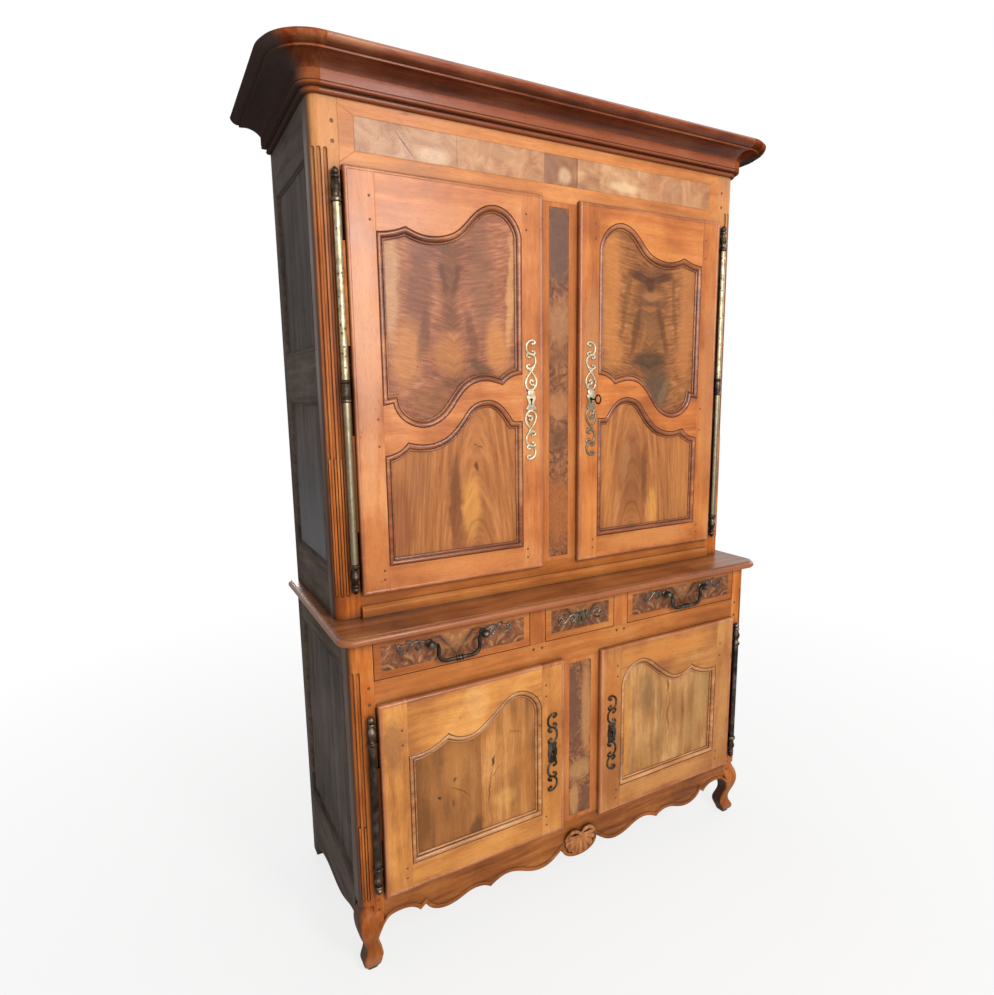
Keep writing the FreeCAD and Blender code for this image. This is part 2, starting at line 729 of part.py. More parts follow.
def cornice_profile():
    """Section of the crown moulding: distance out from the posts along X, height along Z."""
    z1 = low_bead_height
    z2 = z1 + high_bead_height
    z3 = z2 + fascia_height
    z4 = z3 + cove_height
    z5 = z4 + fillet_height
    z6 = z5 + ovolo_height
    cove_run = cove_out - fascia_out
    ovolo_run = cornice_out - fillet_out
    root = math.sqrt(0.5)

    def line(a, b):
        return Part.makeLine(V(a[0], 0, a[1]), V(b[0], 0, b[1]))

    def arc(a, b, c):
        return Part.Arc(V(a[0], 0, a[1]), V(b[0], 0, b[1]), V(c[0], 0, c[1])).toShape()

    edges = [
        line((-cornice_seat, 0), (low_bead_out, 0)),
        arc((low_bead_out, 0), (low_bead_out + z1 / 2, z1 / 2), (low_bead_out, z1)),
        line((low_bead_out, z1), (high_bead_out, z1)),
        arc((high_bead_out, z1), (high_bead_out + high_bead_height / 2, (z1 + z2) / 2), (high_bead_out, z2)),
        line((high_bead_out, z2), (fascia_out, z2)),
        line((fascia_out, z2), (fascia_out, z3)),
        arc((fascia_out, z3), (cove_out - cove_run * root, z3 + cove_height * root), (cove_out, z4)),
        line((cove_out, z4), (fillet_out, z4)),
        line((fillet_out, z4), (fillet_out, z5)),
        arc((fillet_out, z5), (fillet_out + ovolo_run * root, z6 - (z6 - z5) * root), (cornice_out, z6)),
        line((cornice_out, z6), (cornice_out - cornice_top_round, cornice_height)),
        line((cornice_out - cornice_top_round, cornice_height), (-cornice_seat, cornice_height)),
        line((-cornice_seat, cornice_height), (-cornice_seat, 0)),
    ]
    face = Part.Face(Part.Wire(edges))
    face.translate(V(0, 0, upper_top_level))
    return face


def cornice():
    """Crown moulding: the front length, and the rounded corners, returns and back rail."""
    centre_x = upper_half_width - post_corner_radius
    centre_y = upper_y + post_corner_radius
    side = cornice_profile()
    side.translate(V(upper_half_width, centre_y, 0))
    returned = side.extrude(V(0, back_y - centre_y, 0))
    corner = side.revolve(V(centre_x, centre_y, 0), V(0, 0, 1), -90)
    front = cornice_profile()
    front.rotate(V(0, 0, 0), V(0, 0, 1), -90)
    front.translate(V(-centre_x, upper_y, 0))
    nodes["cornice_front"] = [front.extrude(V(2 * centre_x, 0, 0))]
    inside = upper_half_width - cornice_seat
    rail = block(-inside, inside, board_y, back_y, upper_top_level, upper_top_level + crown_rail_height)
    nodes["cornice_ends"] = pair(corner) + pair(returned) + [rail]


def mitred_strip(x0, x1, y0, y1, z0, z1):
    """Moulded strip along a stile, its ends mitred towards x1."""
    run = abs(x1 - x0)
    return prism([V(x0, y0, z0), V(x1, y0, z0 + run), V(x1, y0, z1 - run), V(x0, y0, z1)], V(0, y1 - y0, 0))


def panel_cutters(spans, face_y, rear_y):
    """What the frame loses to a panel: the quirk, the sloping moulding, the light and the groove."""
    inner = inset_spans(spans, moulding_width)
    quirk_y = face_y + quirk_depth
    panel_y = face_y + panel_recess
    quirk = plate(spans, face_y - overrun, quirk_y)
    slope = Part.makeLoft([outline_wire(spans, quirk_y), outline_wire(inner, panel_y)], True, True)
    light = plate(inner, quirk_y, rear_y + overrun)
    groove = plate(inset_spans(spans, moulding_width - panel_tongue - panel_play), panel_y, panel_y + panel_thickness)
    return [quirk, slope, light, groove]


def door(plane_y, hinge_x, meeting_x, low, high, hinge_stile, meeting_stile, outlines):
    """Left-hand door: its stiles and rails, and its panels."""
    face_y = plane_y - door_proud
    seat_y = plane_y - lip_clearance
    rear_y = plane_y + door_rear
    step = door_lip + door_gap
    lip = block(hinge_x, meeting_x, face_y, seat_y, low, high)
    lip = rounded(lip, door_edge_round, lambda p: abs(p.y - face_y) < touch)
    blank = joined([lip, block(hinge_x, meeting_x - step, seat_y, rear_y, low + step, high - step)])
    left = hinge_x + hinge_stile
    right = meeting_x - meeting_stile
    stiles = [block(hinge_x, left, face_y, rear_y, low, high), block(right, meeting_x, face_y, rear_y, low, high)]
    cutters = []
    panels = []
    for bottom, top in outlines:
        stiles[0] = stiles[0].fuse(mitred_strip(left, left + moulding_width, face_y, rear_y,
                                                bottom[0][0].z, top[0][0].z))
        stiles[1] = stiles[1].fuse(mitred_strip(right, right - moulding_width, face_y, rear_y,
                                                bottom[-1][-1].z, top[-1][-1].z))
        spans = closed_outline(bottom, top)
        cutters += panel_cutters(spans, face_y, rear_y)
        panel_y = face_y + panel_recess
        panels.append(plate(inset_spans(spans, moulding_width - panel_tongue), panel_y, panel_y + panel_thickness))
    middle = blank.cut(stiles)
    frame = [blank.common(stile).cut(cutters) for stile in stiles] + [middle.cut(cutters)]
    return [solid for piece in frame for solid in piece.Solids], panels


def upper_door():
    """The two shaped panels of the upper left door between its stiles."""
    low = upper_opening_bottom - door_lip
    high = upper_opening_top + door_lip
    hinge_x = door_gap - upper_inner
    meeting_x = door_lip - upper_stile_half
    left = hinge_x + upper_hinge_stile
    right = meeting_x - upper_meeting_stile
    arch = low + middle_arch_share * (high - low)
    middle = arch - middle_rise * (1 - middle_valley_share) + middle_rail_width
    crest = high - upper_top_rail
    upper_panel = (shaped_edge(middle_upper_shares, left, right, middle, middle_rise),
                   shaped_edge(upper_arch_shares, left, right, crest - upper_arch_rise, upper_arch_rise))
    lower_panel = (shaped_edge(straight_shares, left, right, low + upper_foot_rail, 0),
                   shaped_edge(middle_lower_shares, left, right, arch - middle_rise, middle_rise))
    frame, panels = door(upper_y, hinge_x, meeting_x, low, high, upper_hinge_stile, upper_meeting_stile,
                         [upper_panel, lower_panel])
    lock_level = low + upper_lock_share * (high - low)
    plate_half = scroll_plate(upper_scroll_length, upper_scroll_width, upper_scroll_count)
    return (frame, panels, plate_half, lock_level, hinge_x, meeting_x, upper_y, low, high, upper_hinge_inset, True)


def lower_door():
    """The single shaped panel of the lower left door, glued up from two boards."""
    low = lower_opening_bottom - door_lip
    high = lower_opening_top + door_lip
    hinge_x = door_gap - lower_inner
    meeting_x = door_lip - lower_stile_half
    left = hinge_x + lower_hinge_stile
    right = meeting_x - lower_meeting_stile
    crest = high - lower_top_rail
    outline = (shaped_edge(straight_shares, left, right, low + lower_foot_rail, 0),
               shaped_edge(lower_arch_shares, left, right, crest - lower_arch_rise, lower_arch_rise))
    frame, panels = door(front_y, hinge_x, meeting_x, low, high, lower_hinge_stile, lower_meeting_stile, [outline])
    joint = left + board_joint_share * (right - left)
    first = block(left, joint, front_y - door_proud, front_y + door_rear, low, high)
    boards = [panels[0].common(first), panels[0].cut(first)]
    lock_level = low + lower_lock_share * (high - low)
    plate_half = scroll_plate(lower_scroll_length, lower_scroll_width, lower_scroll_count)
    return (frame, boards, plate_half, lock_level, hinge_x, meeting_x, front_y, low, high, lower_hinge_inset, False)


def ring_sector(x, z, radius, start_deg, sweep_deg):
    """Flat curved strip of sheet in the front plane, its back at y = 0."""
    angles = [math.radians(start_deg + sweep_deg * k / 2) for k in range(3)]
    outer = [V(x + radius * math.cos(a), 0, z + radius * math.sin(a)) for a in angles]
    inside = radius - scroll_strip
    inner = [V(x + inside * math.cos(a), 0, z + inside * math.sin(a)) for a in angles]
    edges = [Part.Arc(*outer).toShape(), Part.makeLine(outer[2], inner[2]),
             Part.Arc(*reversed(inner)).toShape(), Part.makeLine(inner[0], outer[0])]
    return Part.Face(Part.Wire(edges)).extrude(V(0, -escutcheon_thickness, 0))


def scroll_chain(start, length, count):
    """Curled strips in a row up the Z axis, open to the left and right in turn."""
    pitch = length / count
    radius = pitch / 2 + scroll_strip / 4
    chain = []
    for k in range(count):
        opening = 180 * (k % 2)
        chain.append(ring_sector(0, start + (k + 0.5) * pitch, radius, opening + scroll_opening_deg / 2,
                                 360 - scroll_opening_deg))
    return chain


def keyhole(depth, radius):
    """Round hole with a slot under it, cut through from y = -depth to y = depth."""
    hole = Part.makeCylinder(radius, 2 * depth, V(0, -depth, 0), V(0, 1, 0))
    slot = block(-keyhole_slot_width / 2, keyhole_slot_width / 2, -depth, depth, -keyhole_slot_drop, 0)
    return joined([hole, slot])


def scroll_plate(length, width, count):
    """Upright pierced escutcheon at the origin: a keyhole plate between two chains of scrolls."""
    middle = block(-width / 2, width / 2, -escutcheon_thickness, 0, -keyhole_plate_half, keyhole_plate_half)
    rest = length / 2 - keyhole_plate_half
    upper = scroll_chain(keyhole_plate_half, rest, count)
    lower = [piece.mirror(V(0, 0, 0), V(0, 0, 1)) for piece in upper]
    return joined([middle] + upper + lower).cut(keyhole(escutcheon_thickness + overrun, keyhole_radius))


def lock_place(plane_y, meeting_x):
    """Where the key's axis meets the back of a left door, and the lock's edge near the fixed stile."""
    return meeting_x - escutcheon_inset, plane_y + door_rear, meeting_x - door_lip - door_gap


def bolt_box(grow):
    """Bolt of the upper left lock, drawn back flush with the lock's edge, grown by a clearance."""
    level = upper_lock_level() + key_radius + key_bit_length + bolt_bit_gap + bolt_height / 2
    bolt_length = lock_width - lock_wall - bolt_tail_gap
    x, y, edge = lock_place(upper_y, door_lip - upper_stile_half)
    middle = y + lock_depth / 2
    return block(edge - bolt_length - grow, edge + grow, middle - bolt_thickness / 2 - grow,
                 middle + bolt_thickness / 2 + grow, level - bolt_height / 2 - grow, level + bolt_height / 2 + grow)


def upper_lock_level():
    """Height of the upper doors' keyholes."""
    height = upper_opening_top - upper_opening_bottom + 2 * door_lip
    return upper_opening_bottom - door_lip + upper_lock_share * height


def bolt_mortise():
    """Mortise in the fixed stile that takes the thrown bolt, on the left door's side."""
    box = bolt_box(bolt_clearance + bolt_clearance)
    box.translate(V(bolt_throw, 0, 0))
    return box


def lock_case(plane_y, meeting_x, level, with_bolt):
    """Iron lock case behind a left door, hollow, with its keyhole and the slot for its bolt."""
    x, y, edge = lock_place(plane_y, meeting_x)
    low = level - lock_height / 2
    high = level + lock_height / 2
    case = block(edge - lock_width, edge, y, y + lock_depth, low, high)
    inside = block(edge - lock_width + lock_wall, edge - lock_wall, y + lock_wall, y + lock_depth - lock_wall,
                   low + lock_wall, high - lock_wall)
    hole = keyhole(lock_wall + touch, key_radius + running_clearance)
    hole.translate(V(x, y, level))
    case = case.cut([inside, hole])
    if with_bolt:
        case = case.cut(bolt_box(bolt_clearance))
    return case


def door_ironwork(plane_y, hinge_x, low, high, inset, has_knuckle):
    """Barrel hinge of a left door: the fixed pin with its finials, and the door's tubes."""
    axis_x = hinge_x - hinge_offset
    axis_y = plane_y - finial_radius - hinge_face_gap
    bottom = low + inset + finial_length
    top = high - inset - finial_length
    breaks = [bottom, top]
    fixed = [turned(finial_shares, axis_x, axis_y, top, finial_length, finial_radius),
             turned(finial_shares, axis_x, axis_y, bottom, -finial_length, finial_radius),
             Part.makeCylinder(hinge_pin_radius, top - bottom, V(axis_x, axis_y, bottom))]
    collar = finial_length * finial_collar_share
    seats = [(top, top + collar), (bottom - collar, bottom)]
    if has_knuckle:
        middle = (bottom + top - knuckle_length) / 2
        fixed.append(turned(knuckle_shares, axis_x, axis_y, middle, knuckle_length, finial_radius))
        seats.append((middle, middle + knuckle_length))
        breaks = [bottom, middle, middle + knuckle_length, top]
    half_leaf = hinge_leaf_thickness / 2
    fixed += [block(axis_x - half_leaf, axis_x + half_leaf, axis_y, plane_y, a, b) for a, b in seats]
    leaf_y = plane_y - door_proud + door_edge_round + half_leaf
    tubes = []
    for a, b in zip(breaks[::2], breaks[1::2]):
        z0 = a + hinge_end_gap
        z1 = b - hinge_end_gap
        margin = (z1 - z0) * (1 - hinge_leaf_share) / 2
        leaf = block(axis_x, hinge_x, leaf_y, leaf_y + hinge_leaf_thickness, z0 + margin, z1 - margin)
        tube = joined([Part.makeCylinder(hinge_tube_radius, z1 - z0, V(axis_x, axis_y, z0)), leaf])
        bore = Part.makeCylinder(hinge_pin_radius + running_clearance, z1 - z0, V(axis_x, axis_y, z0))
        tubes.append(tube.cut(bore))
    return joined(fixed), tubes


def doors():
    """The four doors with their panels, locks and hinges. The right ones are twins of the left."""
    pins = []
    for body, made in (("upper", upper_door()), ("lower", lower_door())):
        frame, panels, scroll, level, hinge_x, meeting_x, plane_y, low, high, inset, is_upper = made
        x, y, edge = lock_place(plane_y, meeting_x)
        hole = Part.makeCylinder(keyhole_radius, door_proud + door_rear + overrun * 2,
                                 V(x, plane_y - door_proud - overrun, level), V(0, 1, 0))
        frame = [solid.cut(hole) for solid in frame]
        scroll.translate(V(x, plane_y - door_proud, level))
        pin, tubes = door_ironwork(plane_y, hinge_x, low, high, inset, is_upper)
        pins += pair(pin)
        for side, turn in (("left", lambda s: s), ("right", mirrored)):
            name = body + "_" + side + "_door_"
            with_bolt = is_upper and side == "right"
            case = lock_case(plane_y, meeting_x, level, with_bolt)
            nodes[name + "frame"] = [turn(solid) for solid in frame]
            nodes[name + "panels"] = [turn(solid) for solid in panels]
            nodes[name + "lock"] = [turn(solid) for solid in (scroll, case)]
            nodes[name + "hinge_tubes"] = [turn(solid) for solid in tubes]
    nodes["hinge_pins"] = pins


def key_and_bolt():
    """Key standing in the upper right lock, and the bolt that it throws."""
    x, y, edge = lock_place(upper_y, door_lip - upper_stile_half)
    level = upper_lock_level()
    bow_y = upper_y - door_proud - escutcheon_thickness - key_reach
    rear = y + lock_depth - lock_wall - key_bit_gap
    start = bow_y + key_bow_radius
    shank = Part.makeCylinder(key_radius, rear - start, V(x, start, level), V(0, 1, 0))
    bow = Part.makeTorus(key_bow_radius, key_bow_wire, V(x, bow_y, level), V(1, 0, 0))
    bit = block(x - key_bit_thickness / 2, x + key_bit_thickness / 2, y + lock_wall + key_bit_gap, rear,
                level - key_radius - key_bit_length, level)
    nodes["key"] = [mirrored(joined([shank, bow, bit]))]
    nodes["lock_bolt"] = [mirrored(bolt_box(0))]


def drawer(name, x0, x1):
    """Drawer in the opening between x0 and x1: veneered front, and a box of sides, back and bottom."""
    left = x0 + drawer_gap
    right = x1 - drawer_gap
    low = drawer_level + drawer_gap
    high = top_underside - drawer_gap
    inner_y = front_y + drawer_front_thickness
    rear_y = board_y - drawer_rear_gap
    front = block(left, right, front_y, inner_y, low, high)
    veneer = block(left + drawer_border, right - drawer_border, front_y, front_y + veneer_thickness,
                   low + drawer_border, high - drawer_border)
    nodes[name + "_front"] = [front.cut(veneer)]
    nodes[name + "_veneer"] = [veneer]
    seat = drawer_level + drawer_seat_gap
    side_top = top_underside - drawer_side_drop
    t = drawer_side_thickness
    sides = [block(x, x + t, inner_y, rear_y, seat, side_top) for x in (left, right - t)]
    back = block(left + t, right - t, rear_y - t, rear_y, seat, side_top)
    floor_low = seat + drawer_bottom_rise
    bottom = block(left + t, right - t, inner_y, rear_y - t, floor_low, floor_low + drawer_bottom_thickness)
    nodes[name + "_box"] = sides + [back, bottom]


def drop_handle(name, x):
    """Two scroll plates with round bosses, and the bail that swings between them."""
    pivot_y = front_y - handle_stand_off
    arm_x = handle_half_span - boss_radius - bail_boss_gap - bail_radius
    stub_end = handle_half_span - boss_radius + boss_bore_depth
    boss = joined([Part.makeSphere(boss_radius, V(handle_half_span, pivot_y, handle_level)),
                   Part.makeCylinder(boss_neck_radius, handle_stand_off, V(handle_half_span, pivot_y, handle_level),
                                     V(0, 1, 0))])
    arms = scroll_chain(boss_neck_radius, handle_arm_length - boss_neck_radius, middle_scroll_count)
    for arm in arms:
        arm.rotate(V(0, 0, 0), V(0, 1, 0), 90)
        arm.translate(V(handle_half_span, front_y, handle_level))
    bore = Part.makeCylinder(bail_pivot_radius + running_clearance, stub_end - arm_x, V(arm_x, pivot_y, handle_level),
                             V(1, 0, 0))
    mount = joined([boss] + arms).cut(bore)
    low = handle_level - bail_drop
    corner = bail_corner_radius
    bend = corner * (1 - math.sqrt(0.5))
    middle = V(0, pivot_y, low)
    points = [V(arm_x, pivot_y, handle_level), V(arm_x, pivot_y, low + corner), V(arm_x - corner, pivot_y, low)]
    path = Part.Wire([Part.makeLine(points[0], points[1]),
                      Part.Arc(points[1], V(arm_x - bend, pivot_y, low + bend), points[2]).toShape(),
                      Part.makeLine(points[2], middle)])
    circle = Part.Wire([Part.makeCircle(bail_radius, points[0], V(0, 0, 1))])
    half = path.makePipeShell([circle], True, False)
    stub = Part.makeCylinder(bail_pivot_radius, stub_end - arm_x - bail_boss_gap, V(arm_x, pivot_y, handle_level),
                             V(1, 0, 0))
    top = Part.makeSphere(bail_radius, V(arm_x, pivot_y, handle_level))
    knop = Part.makeCylinder(bail_knop_radius, bail_knop_length, V(-bail_knop_length / 2, pivot_y, low), V(1, 0, 0))
    bail = joined([half, mirrored(half), stub, mirrored(stub), top, mirrored(top), knop])
    plates = pair(mount)
    for piece in plates + [bail]:
        piece.translate(V(x, 0, 0))
    nodes[name + "_handle_plates"] = plates
    nodes[name + "_bail"] = [bail]


def drawers():
    """Three drawers in a row, the side ones with drop handles and the middle one with a scroll plate."""
    outer = middle_drawer_half + divider_width
    drawer("left_drawer", -lower_inner, -outer)
    drawer("middle_drawer", -middle_drawer_half, middle_drawer_half)
    drawer("right_drawer", outer, lower_inner)
    centre = (outer + lower_inner) / 2
    drop_handle("left", -centre)
    drop_handle("right", centre)
    scroll = scroll_plate(middle_scroll_length, middle_scroll_width, middle_scroll_count)
    scroll.rotate(V(0, 0, 0), V(0, 1, 0), 90)
    scroll.translate(V(0, front_y, (drawer_level + top_underside) / 2))
    nodes["middle_drawer_plate"] = [scroll]


lower_inlays, lower_pegs = lower_frame()
shell()
lower_posts, lower_rails, lower_panels = lower_case()
upper_inlays, upper_pegs = upper_frame()
upper_posts, upper_rails, upper_panels = upper_case()
nodes["back_posts"] = lower_posts + upper_posts
nodes["side_rails"] = lower_rails + upper_rails
nodes["side_panels"] = lower_panels + upper_panels
nodes["burr_inlays"] = lower_inlays + upper_inlays
nodes["carcass_pegs"] = lower_pegs + upper_pegs
floor_underside = lower_opening_bottom - board_thickness
nodes["back_boards"] = back_boards(lower_half_width, floor_underside, top_underside)
nodes["back_boards"] += back_boards(upper_half_width, top_level, upper_top_level)
upper_ceiling_level = upper_top_level - board_thickness
upper_shelves, upper_cleats = shelf_set(upper_inner, upper_y, upper_opening_bottom, upper_ceiling_level,
                                        upper_shelf_count)
lower_shelves, lower_cleats = shelf_set(lower_inner, front_y, lower_opening_bottom, drawer_level - runner_height, 1)
nodes["shelves"] = lower_shelves + upper_shelves
nodes["shelf_cleats"] = lower_cleats + upper_cleats
cornice()
doors()
key_and_bolt()
drawers()

os.makedirs("parts", exist_ok=True)
for name, solids in nodes.items():
    shape = solids[0] if len(solids) == 1 else Part.makeCompound(solids)
    shape.exportStep("parts/" + name + ".step")
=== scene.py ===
import math

import bmesh
import bpy
from mathutils import Matrix, Vector


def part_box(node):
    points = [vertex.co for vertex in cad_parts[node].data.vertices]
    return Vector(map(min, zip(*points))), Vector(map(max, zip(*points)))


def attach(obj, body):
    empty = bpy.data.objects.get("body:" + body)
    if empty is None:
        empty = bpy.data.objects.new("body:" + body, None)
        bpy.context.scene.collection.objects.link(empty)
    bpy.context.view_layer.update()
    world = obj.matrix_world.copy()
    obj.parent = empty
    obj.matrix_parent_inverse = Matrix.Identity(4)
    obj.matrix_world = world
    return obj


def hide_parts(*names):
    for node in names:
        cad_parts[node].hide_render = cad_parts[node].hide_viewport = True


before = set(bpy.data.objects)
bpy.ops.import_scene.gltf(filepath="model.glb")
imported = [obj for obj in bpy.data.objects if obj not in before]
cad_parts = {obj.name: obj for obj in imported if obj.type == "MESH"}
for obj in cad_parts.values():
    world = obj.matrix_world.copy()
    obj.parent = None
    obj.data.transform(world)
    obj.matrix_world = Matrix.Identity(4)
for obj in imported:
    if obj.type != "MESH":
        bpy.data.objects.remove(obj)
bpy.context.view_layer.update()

# Corner posts of both bodies. Each lower front post is one length of walnut with its leg, and flutes
# with standing reeds are scratched up its rounded corner. The back posts stand square on the floor.


def linear(code):
    """Linear colour from an sRGB hex code."""
    shares = [int(code[i:i + 2], 16) / 255 for i in (1, 3, 5)]
    return [c / 12.92 if c <= 0.04045 else ((c + 0.055) / 1.055) ** 2.4 for c in shares] + [1.0]


def add(tree, kind, sockets=None, stops=None, **settings):
    """One shader node with its settings, its socket values or links, and the stops of a colour ramp."""
    node = tree.nodes.new("ShaderNode" + kind)
    for name, value in settings.items():
        setattr(node, name, value)
    for key, value in (sockets or {}).items():
        named = [s for s in node.inputs if s.enabled and s.name == key]
        socket = node.inputs[key] if isinstance(key, int) else named[0]
        if isinstance(value, bpy.types.Node):
            value = [s for s in value.outputs if s.enabled][0]
        if isinstance(value, bpy.types.NodeSocket):
            tree.links.new(value, socket)
        else:
            socket.default_value = value
    for i, (place, colour) in enumerate(stops or ()):
        stop = node.color_ramp.elements[i] if i < 2 else node.color_ramp.elements.new(place)
        stop.position = place
        stop.color = colour
    return node


def stained(tree, colour, *stains):
    """Lays stains over a colour. Each is given as a value, the two marks between which the stain comes in,
    its full strength and its colour."""
    for value, start, full, strength, code in stains:
        share = add(tree, "MapRange", {"Value": value, "From Min": start, "From Max": full,
                                       "To Max": strength})
        colour = add(tree, "Mix", {"Factor": share, "A": colour, "B": linear(code)}, data_type="RGBA")
    return colour


def coat(tree, colour, polish, relief):
    """Lays colour, roughness and relief on a surface."""
    shader = tree.nodes["Principled BSDF"]
    for socket, node in (("Base Color", colour), ("Roughness", polish), ("Normal", relief)):
        tree.links.new([s for s in node.outputs if s.enabled][0], shader.inputs[socket])


def wood(name, dark, mid, light, turn=(0, 0, 0), band_mm=22, stretch=12, waver_mm=14, drift=0.45,
         contrast=1.0, rough=0.42, specular=0.35, grime_and_shade=0.85, wear_and_highlight=0.3, reshape=None, tint=None):
    """Waxed old wood: soft bands and fine lines along the grain, open pores, worm holes and knocks,
    darkening in the corners that is partly dirt and partly painted shade, and paler edges that are partly
    rubbed wear and partly painted highlight. The grain runs along Z unless it is turned or reshaped.
    Walnut's pores are a quarter of a millimetre wide; pores and lines are drawn coarser, so as to show."""
    line_mm = 2.6
    pore_mm = 1.3
    patch_mm = 210
    waver_run_mm = 130
    edge_mm = 3.5
    dirt_and_shade_mm = 28
    material = bpy.data.materials.new(name)
    material.use_nodes = True
    tree = material.node_tree
    place = add(tree, "TexCoord").outputs["Object"]
    if reshape:
        grain = reshape(tree, place)
    else:
        grain = add(tree, "Mapping", {"Vector": place, "Rotation": turn})
    waver = add(tree, "TexNoise", {"Vector": grain, "Scale": 1000 / waver_run_mm, "Detail": 2.0})
    reach = [waver_mm / 1000] * 3
    wavy = add(tree, "VectorMath", {0: waver.outputs["Color"], 1: reach, 2: grain}, operation="MULTIPLY_ADD")
    long = add(tree, "VectorMath", {0: wavy, 1: (1, 1, 1 / stretch)}, operation="MULTIPLY")
    bands = add(tree, "TexNoise", {"Vector": long, "Scale": 1000 / band_mm, "Detail": 4.0, "Roughness": 0.6})
    lines = add(tree, "TexNoise", {"Vector": long, "Scale": 1000 / line_mm, "Detail": 2.0, "Roughness": 0.6})
    pores = add(tree, "TexNoise", {"Vector": long, "Scale": 1000 / pore_mm, "Detail": 0.0})
    patch = add(tree, "TexNoise", {"Vector": grain, "Scale": 1000 / patch_mm, "Detail": 4.0,
                                   "Roughness": 0.55})
    tone = add(tree, "Math", {0: bands, 1: 0.88 - drift}, operation="MULTIPLY")
    tone = add(tree, "Math", {0: lines, 1: 0.12, 2: tone}, operation="MULTIPLY_ADD")
    tone = add(tree, "Math", {0: patch, 1: drift, 2: tone}, operation="MULTIPLY_ADD")
    spread = 0.13 / contrast
    tones = [(0.5 - spread, linear(dark)), (0.5 + spread, linear(light)), (0.5, linear(mid))]
    colour = add(tree, "ValToRGB", {"Fac": tone}, tones)
    if tint:
        colour = tint(tree, place, tone, colour)
    open_pores = add(tree, "MapRange", {"Value": pores, "From Min": 0.58, "From Max": 0.7, "To Max": 0.22})
    colour = add(tree, "Mix", {"Factor": open_pores, "A": colour, "B": linear("#7a5138")},
                 data_type="RGBA", blend_type="MULTIPLY")
    # Worm holes, then knocks drawn out along the grain: how far apart, their share of that, how dark.
    drawn = add(tree, "VectorMath", {0: grain, 1: (1, 1, 0.35)}, operation="MULTIPLY")
    for where, apart_mm, size, depth in ((place, 42, 0.05, 0.8), (drawn, 55, 0.075, 0.5)):
        cell = add(tree, "TexVoronoi", {"Vector": where, "Scale": 1000 / apart_mm})
        rare = add(tree, "SeparateColor", {"Color": cell.outputs["Color"]})
        rare = add(tree, "Math", {0: rare, 1: 0.82}, operation="GREATER_THAN")
        mark = add(tree, "MapRange", {"Value": cell.outputs["Distance"], "From Min": 1.4 * size,
                                      "From Max": 0.6 * size, "To Max": depth})
        mark = add(tree, "Math", {0: mark, 1: rare}, operation="MULTIPLY")
        colour = add(tree, "Mix", {"Factor": mark, "A": colour, "B": linear("#2b170d")}, data_type="RGBA")
    soft = add(tree, "Bevel", {"Radius": edge_mm / 1000}, samples=4)
    flat = add(tree, "NewGeometry").outputs["Normal"]
    edge = add(tree, "VectorMath", {0: soft, 1: flat}, operation="DOT_PRODUCT").outputs["Value"]
    dirt_and_shade = add(tree, "AmbientOcclusion", {"Distance": dirt_and_shade_mm / 1000}, samples=5).outputs["AO"]
    # Paler edges, partly rubbed wear and partly painted highlight; then darkening in corners and recesses,
    # partly dirt and partly painted shade.
    colour = stained(tree, colour, (edge, 0.98, 0.8, wear_and_highlight, light), (dirt_and_shade, 0.9, 0.28, grime_and_shade, "#2a150b"))
    relief = add(tree, "Math", {0: pores, 1: -0.6, 2: lines}, operation="MULTIPLY_ADD")
    bump = add(tree, "Bump", {"Strength": 0.15, "Distance": 0.0006, "Height": relief, "Normal": soft})
    polish = add(tree, "MapRange", {"Value": patch, "From Min": 0.3, "From Max": 0.7, "To Min": rough - 0.07,
                                    "To Max": rough + 0.07})
    tree.nodes["Principled BSDF"].inputs["Specular IOR Level"].default_value = specular
    coat(tree, colour, polish, bump)
    return material


def dress(material, *nodes):
    """Gives the finish to CAD nodes."""
    for node in nodes:
        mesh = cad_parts[node].data
        mesh.materials.clear()
        mesh.materials.append(material)


def handled_feet(tree, place, tone, colour):
    """Darker towards the floor, where damp and polish have soaked in, rubbed pale at the toe, faded under
    the crown, and blackened on the faces that look sideways, as the sides are."""
    height = add(tree, "SeparateXYZ", {"Vector": place}).outputs["Z"]
    facing = add(tree, "SeparateXYZ", {"Vector": add(tree, "NewGeometry").outputs["Normal"]}).outputs
    aside = add(tree, "Math", {0: facing["X"]}, operation="ABSOLUTE")
    return stained(tree, colour,
                   (height, 0.3, 0.05, 0.5, "#74380f"),
                   (height, 0.04, 0.012, 0.5, "#a8826a"),
                   (height, 2.0, 2.2, 0.55, "#d59c66"),
                   (aside, 0.62, 0.95, 0.9, "#2a1a11"))


# Waxed walnut: warm brown in narrow bands, black in the flutes with dirt and painted shade, and softly
# shining on the rounds.
post_walnut = wood("waxed walnut, posts", "#8a420f", "#b56122", "#cd813c", band_mm=14, specular=0.25,
                   grime_and_shade=0.9, tint=handled_feet)
dress(post_walnut, "upper_front_posts", "lower_front_posts")
# Walnut that smoke and old varnish have darkened: brown black and matt, with its grain just showing.
smoked = ("#3f352f", "#5c4f47", "#74665d")
smoked_matt = dict(rough=0.55, specular=0.015)
dress(wood("smoke-darkened walnut, back posts", *smoked, **smoked_matt), "back_posts")

# Apron and shell. The apron is one board sawn to a scalloped edge with a bead worked along it. The shell
# at its middle is carved in walnut: nine hollow rays from a small boss, under two rolled brows.
along_x = (0, math.radians(90), 0)
# Waxed walnut with its grain lying along the board: darker than the posts, in long narrow streaks.
apron_walnut = wood("waxed walnut, apron", "#693410", "#92521f", "#b16f35", turn=along_x, band_mm=15,
                    specular=0.25)
dress(apron_walnut, "apron")


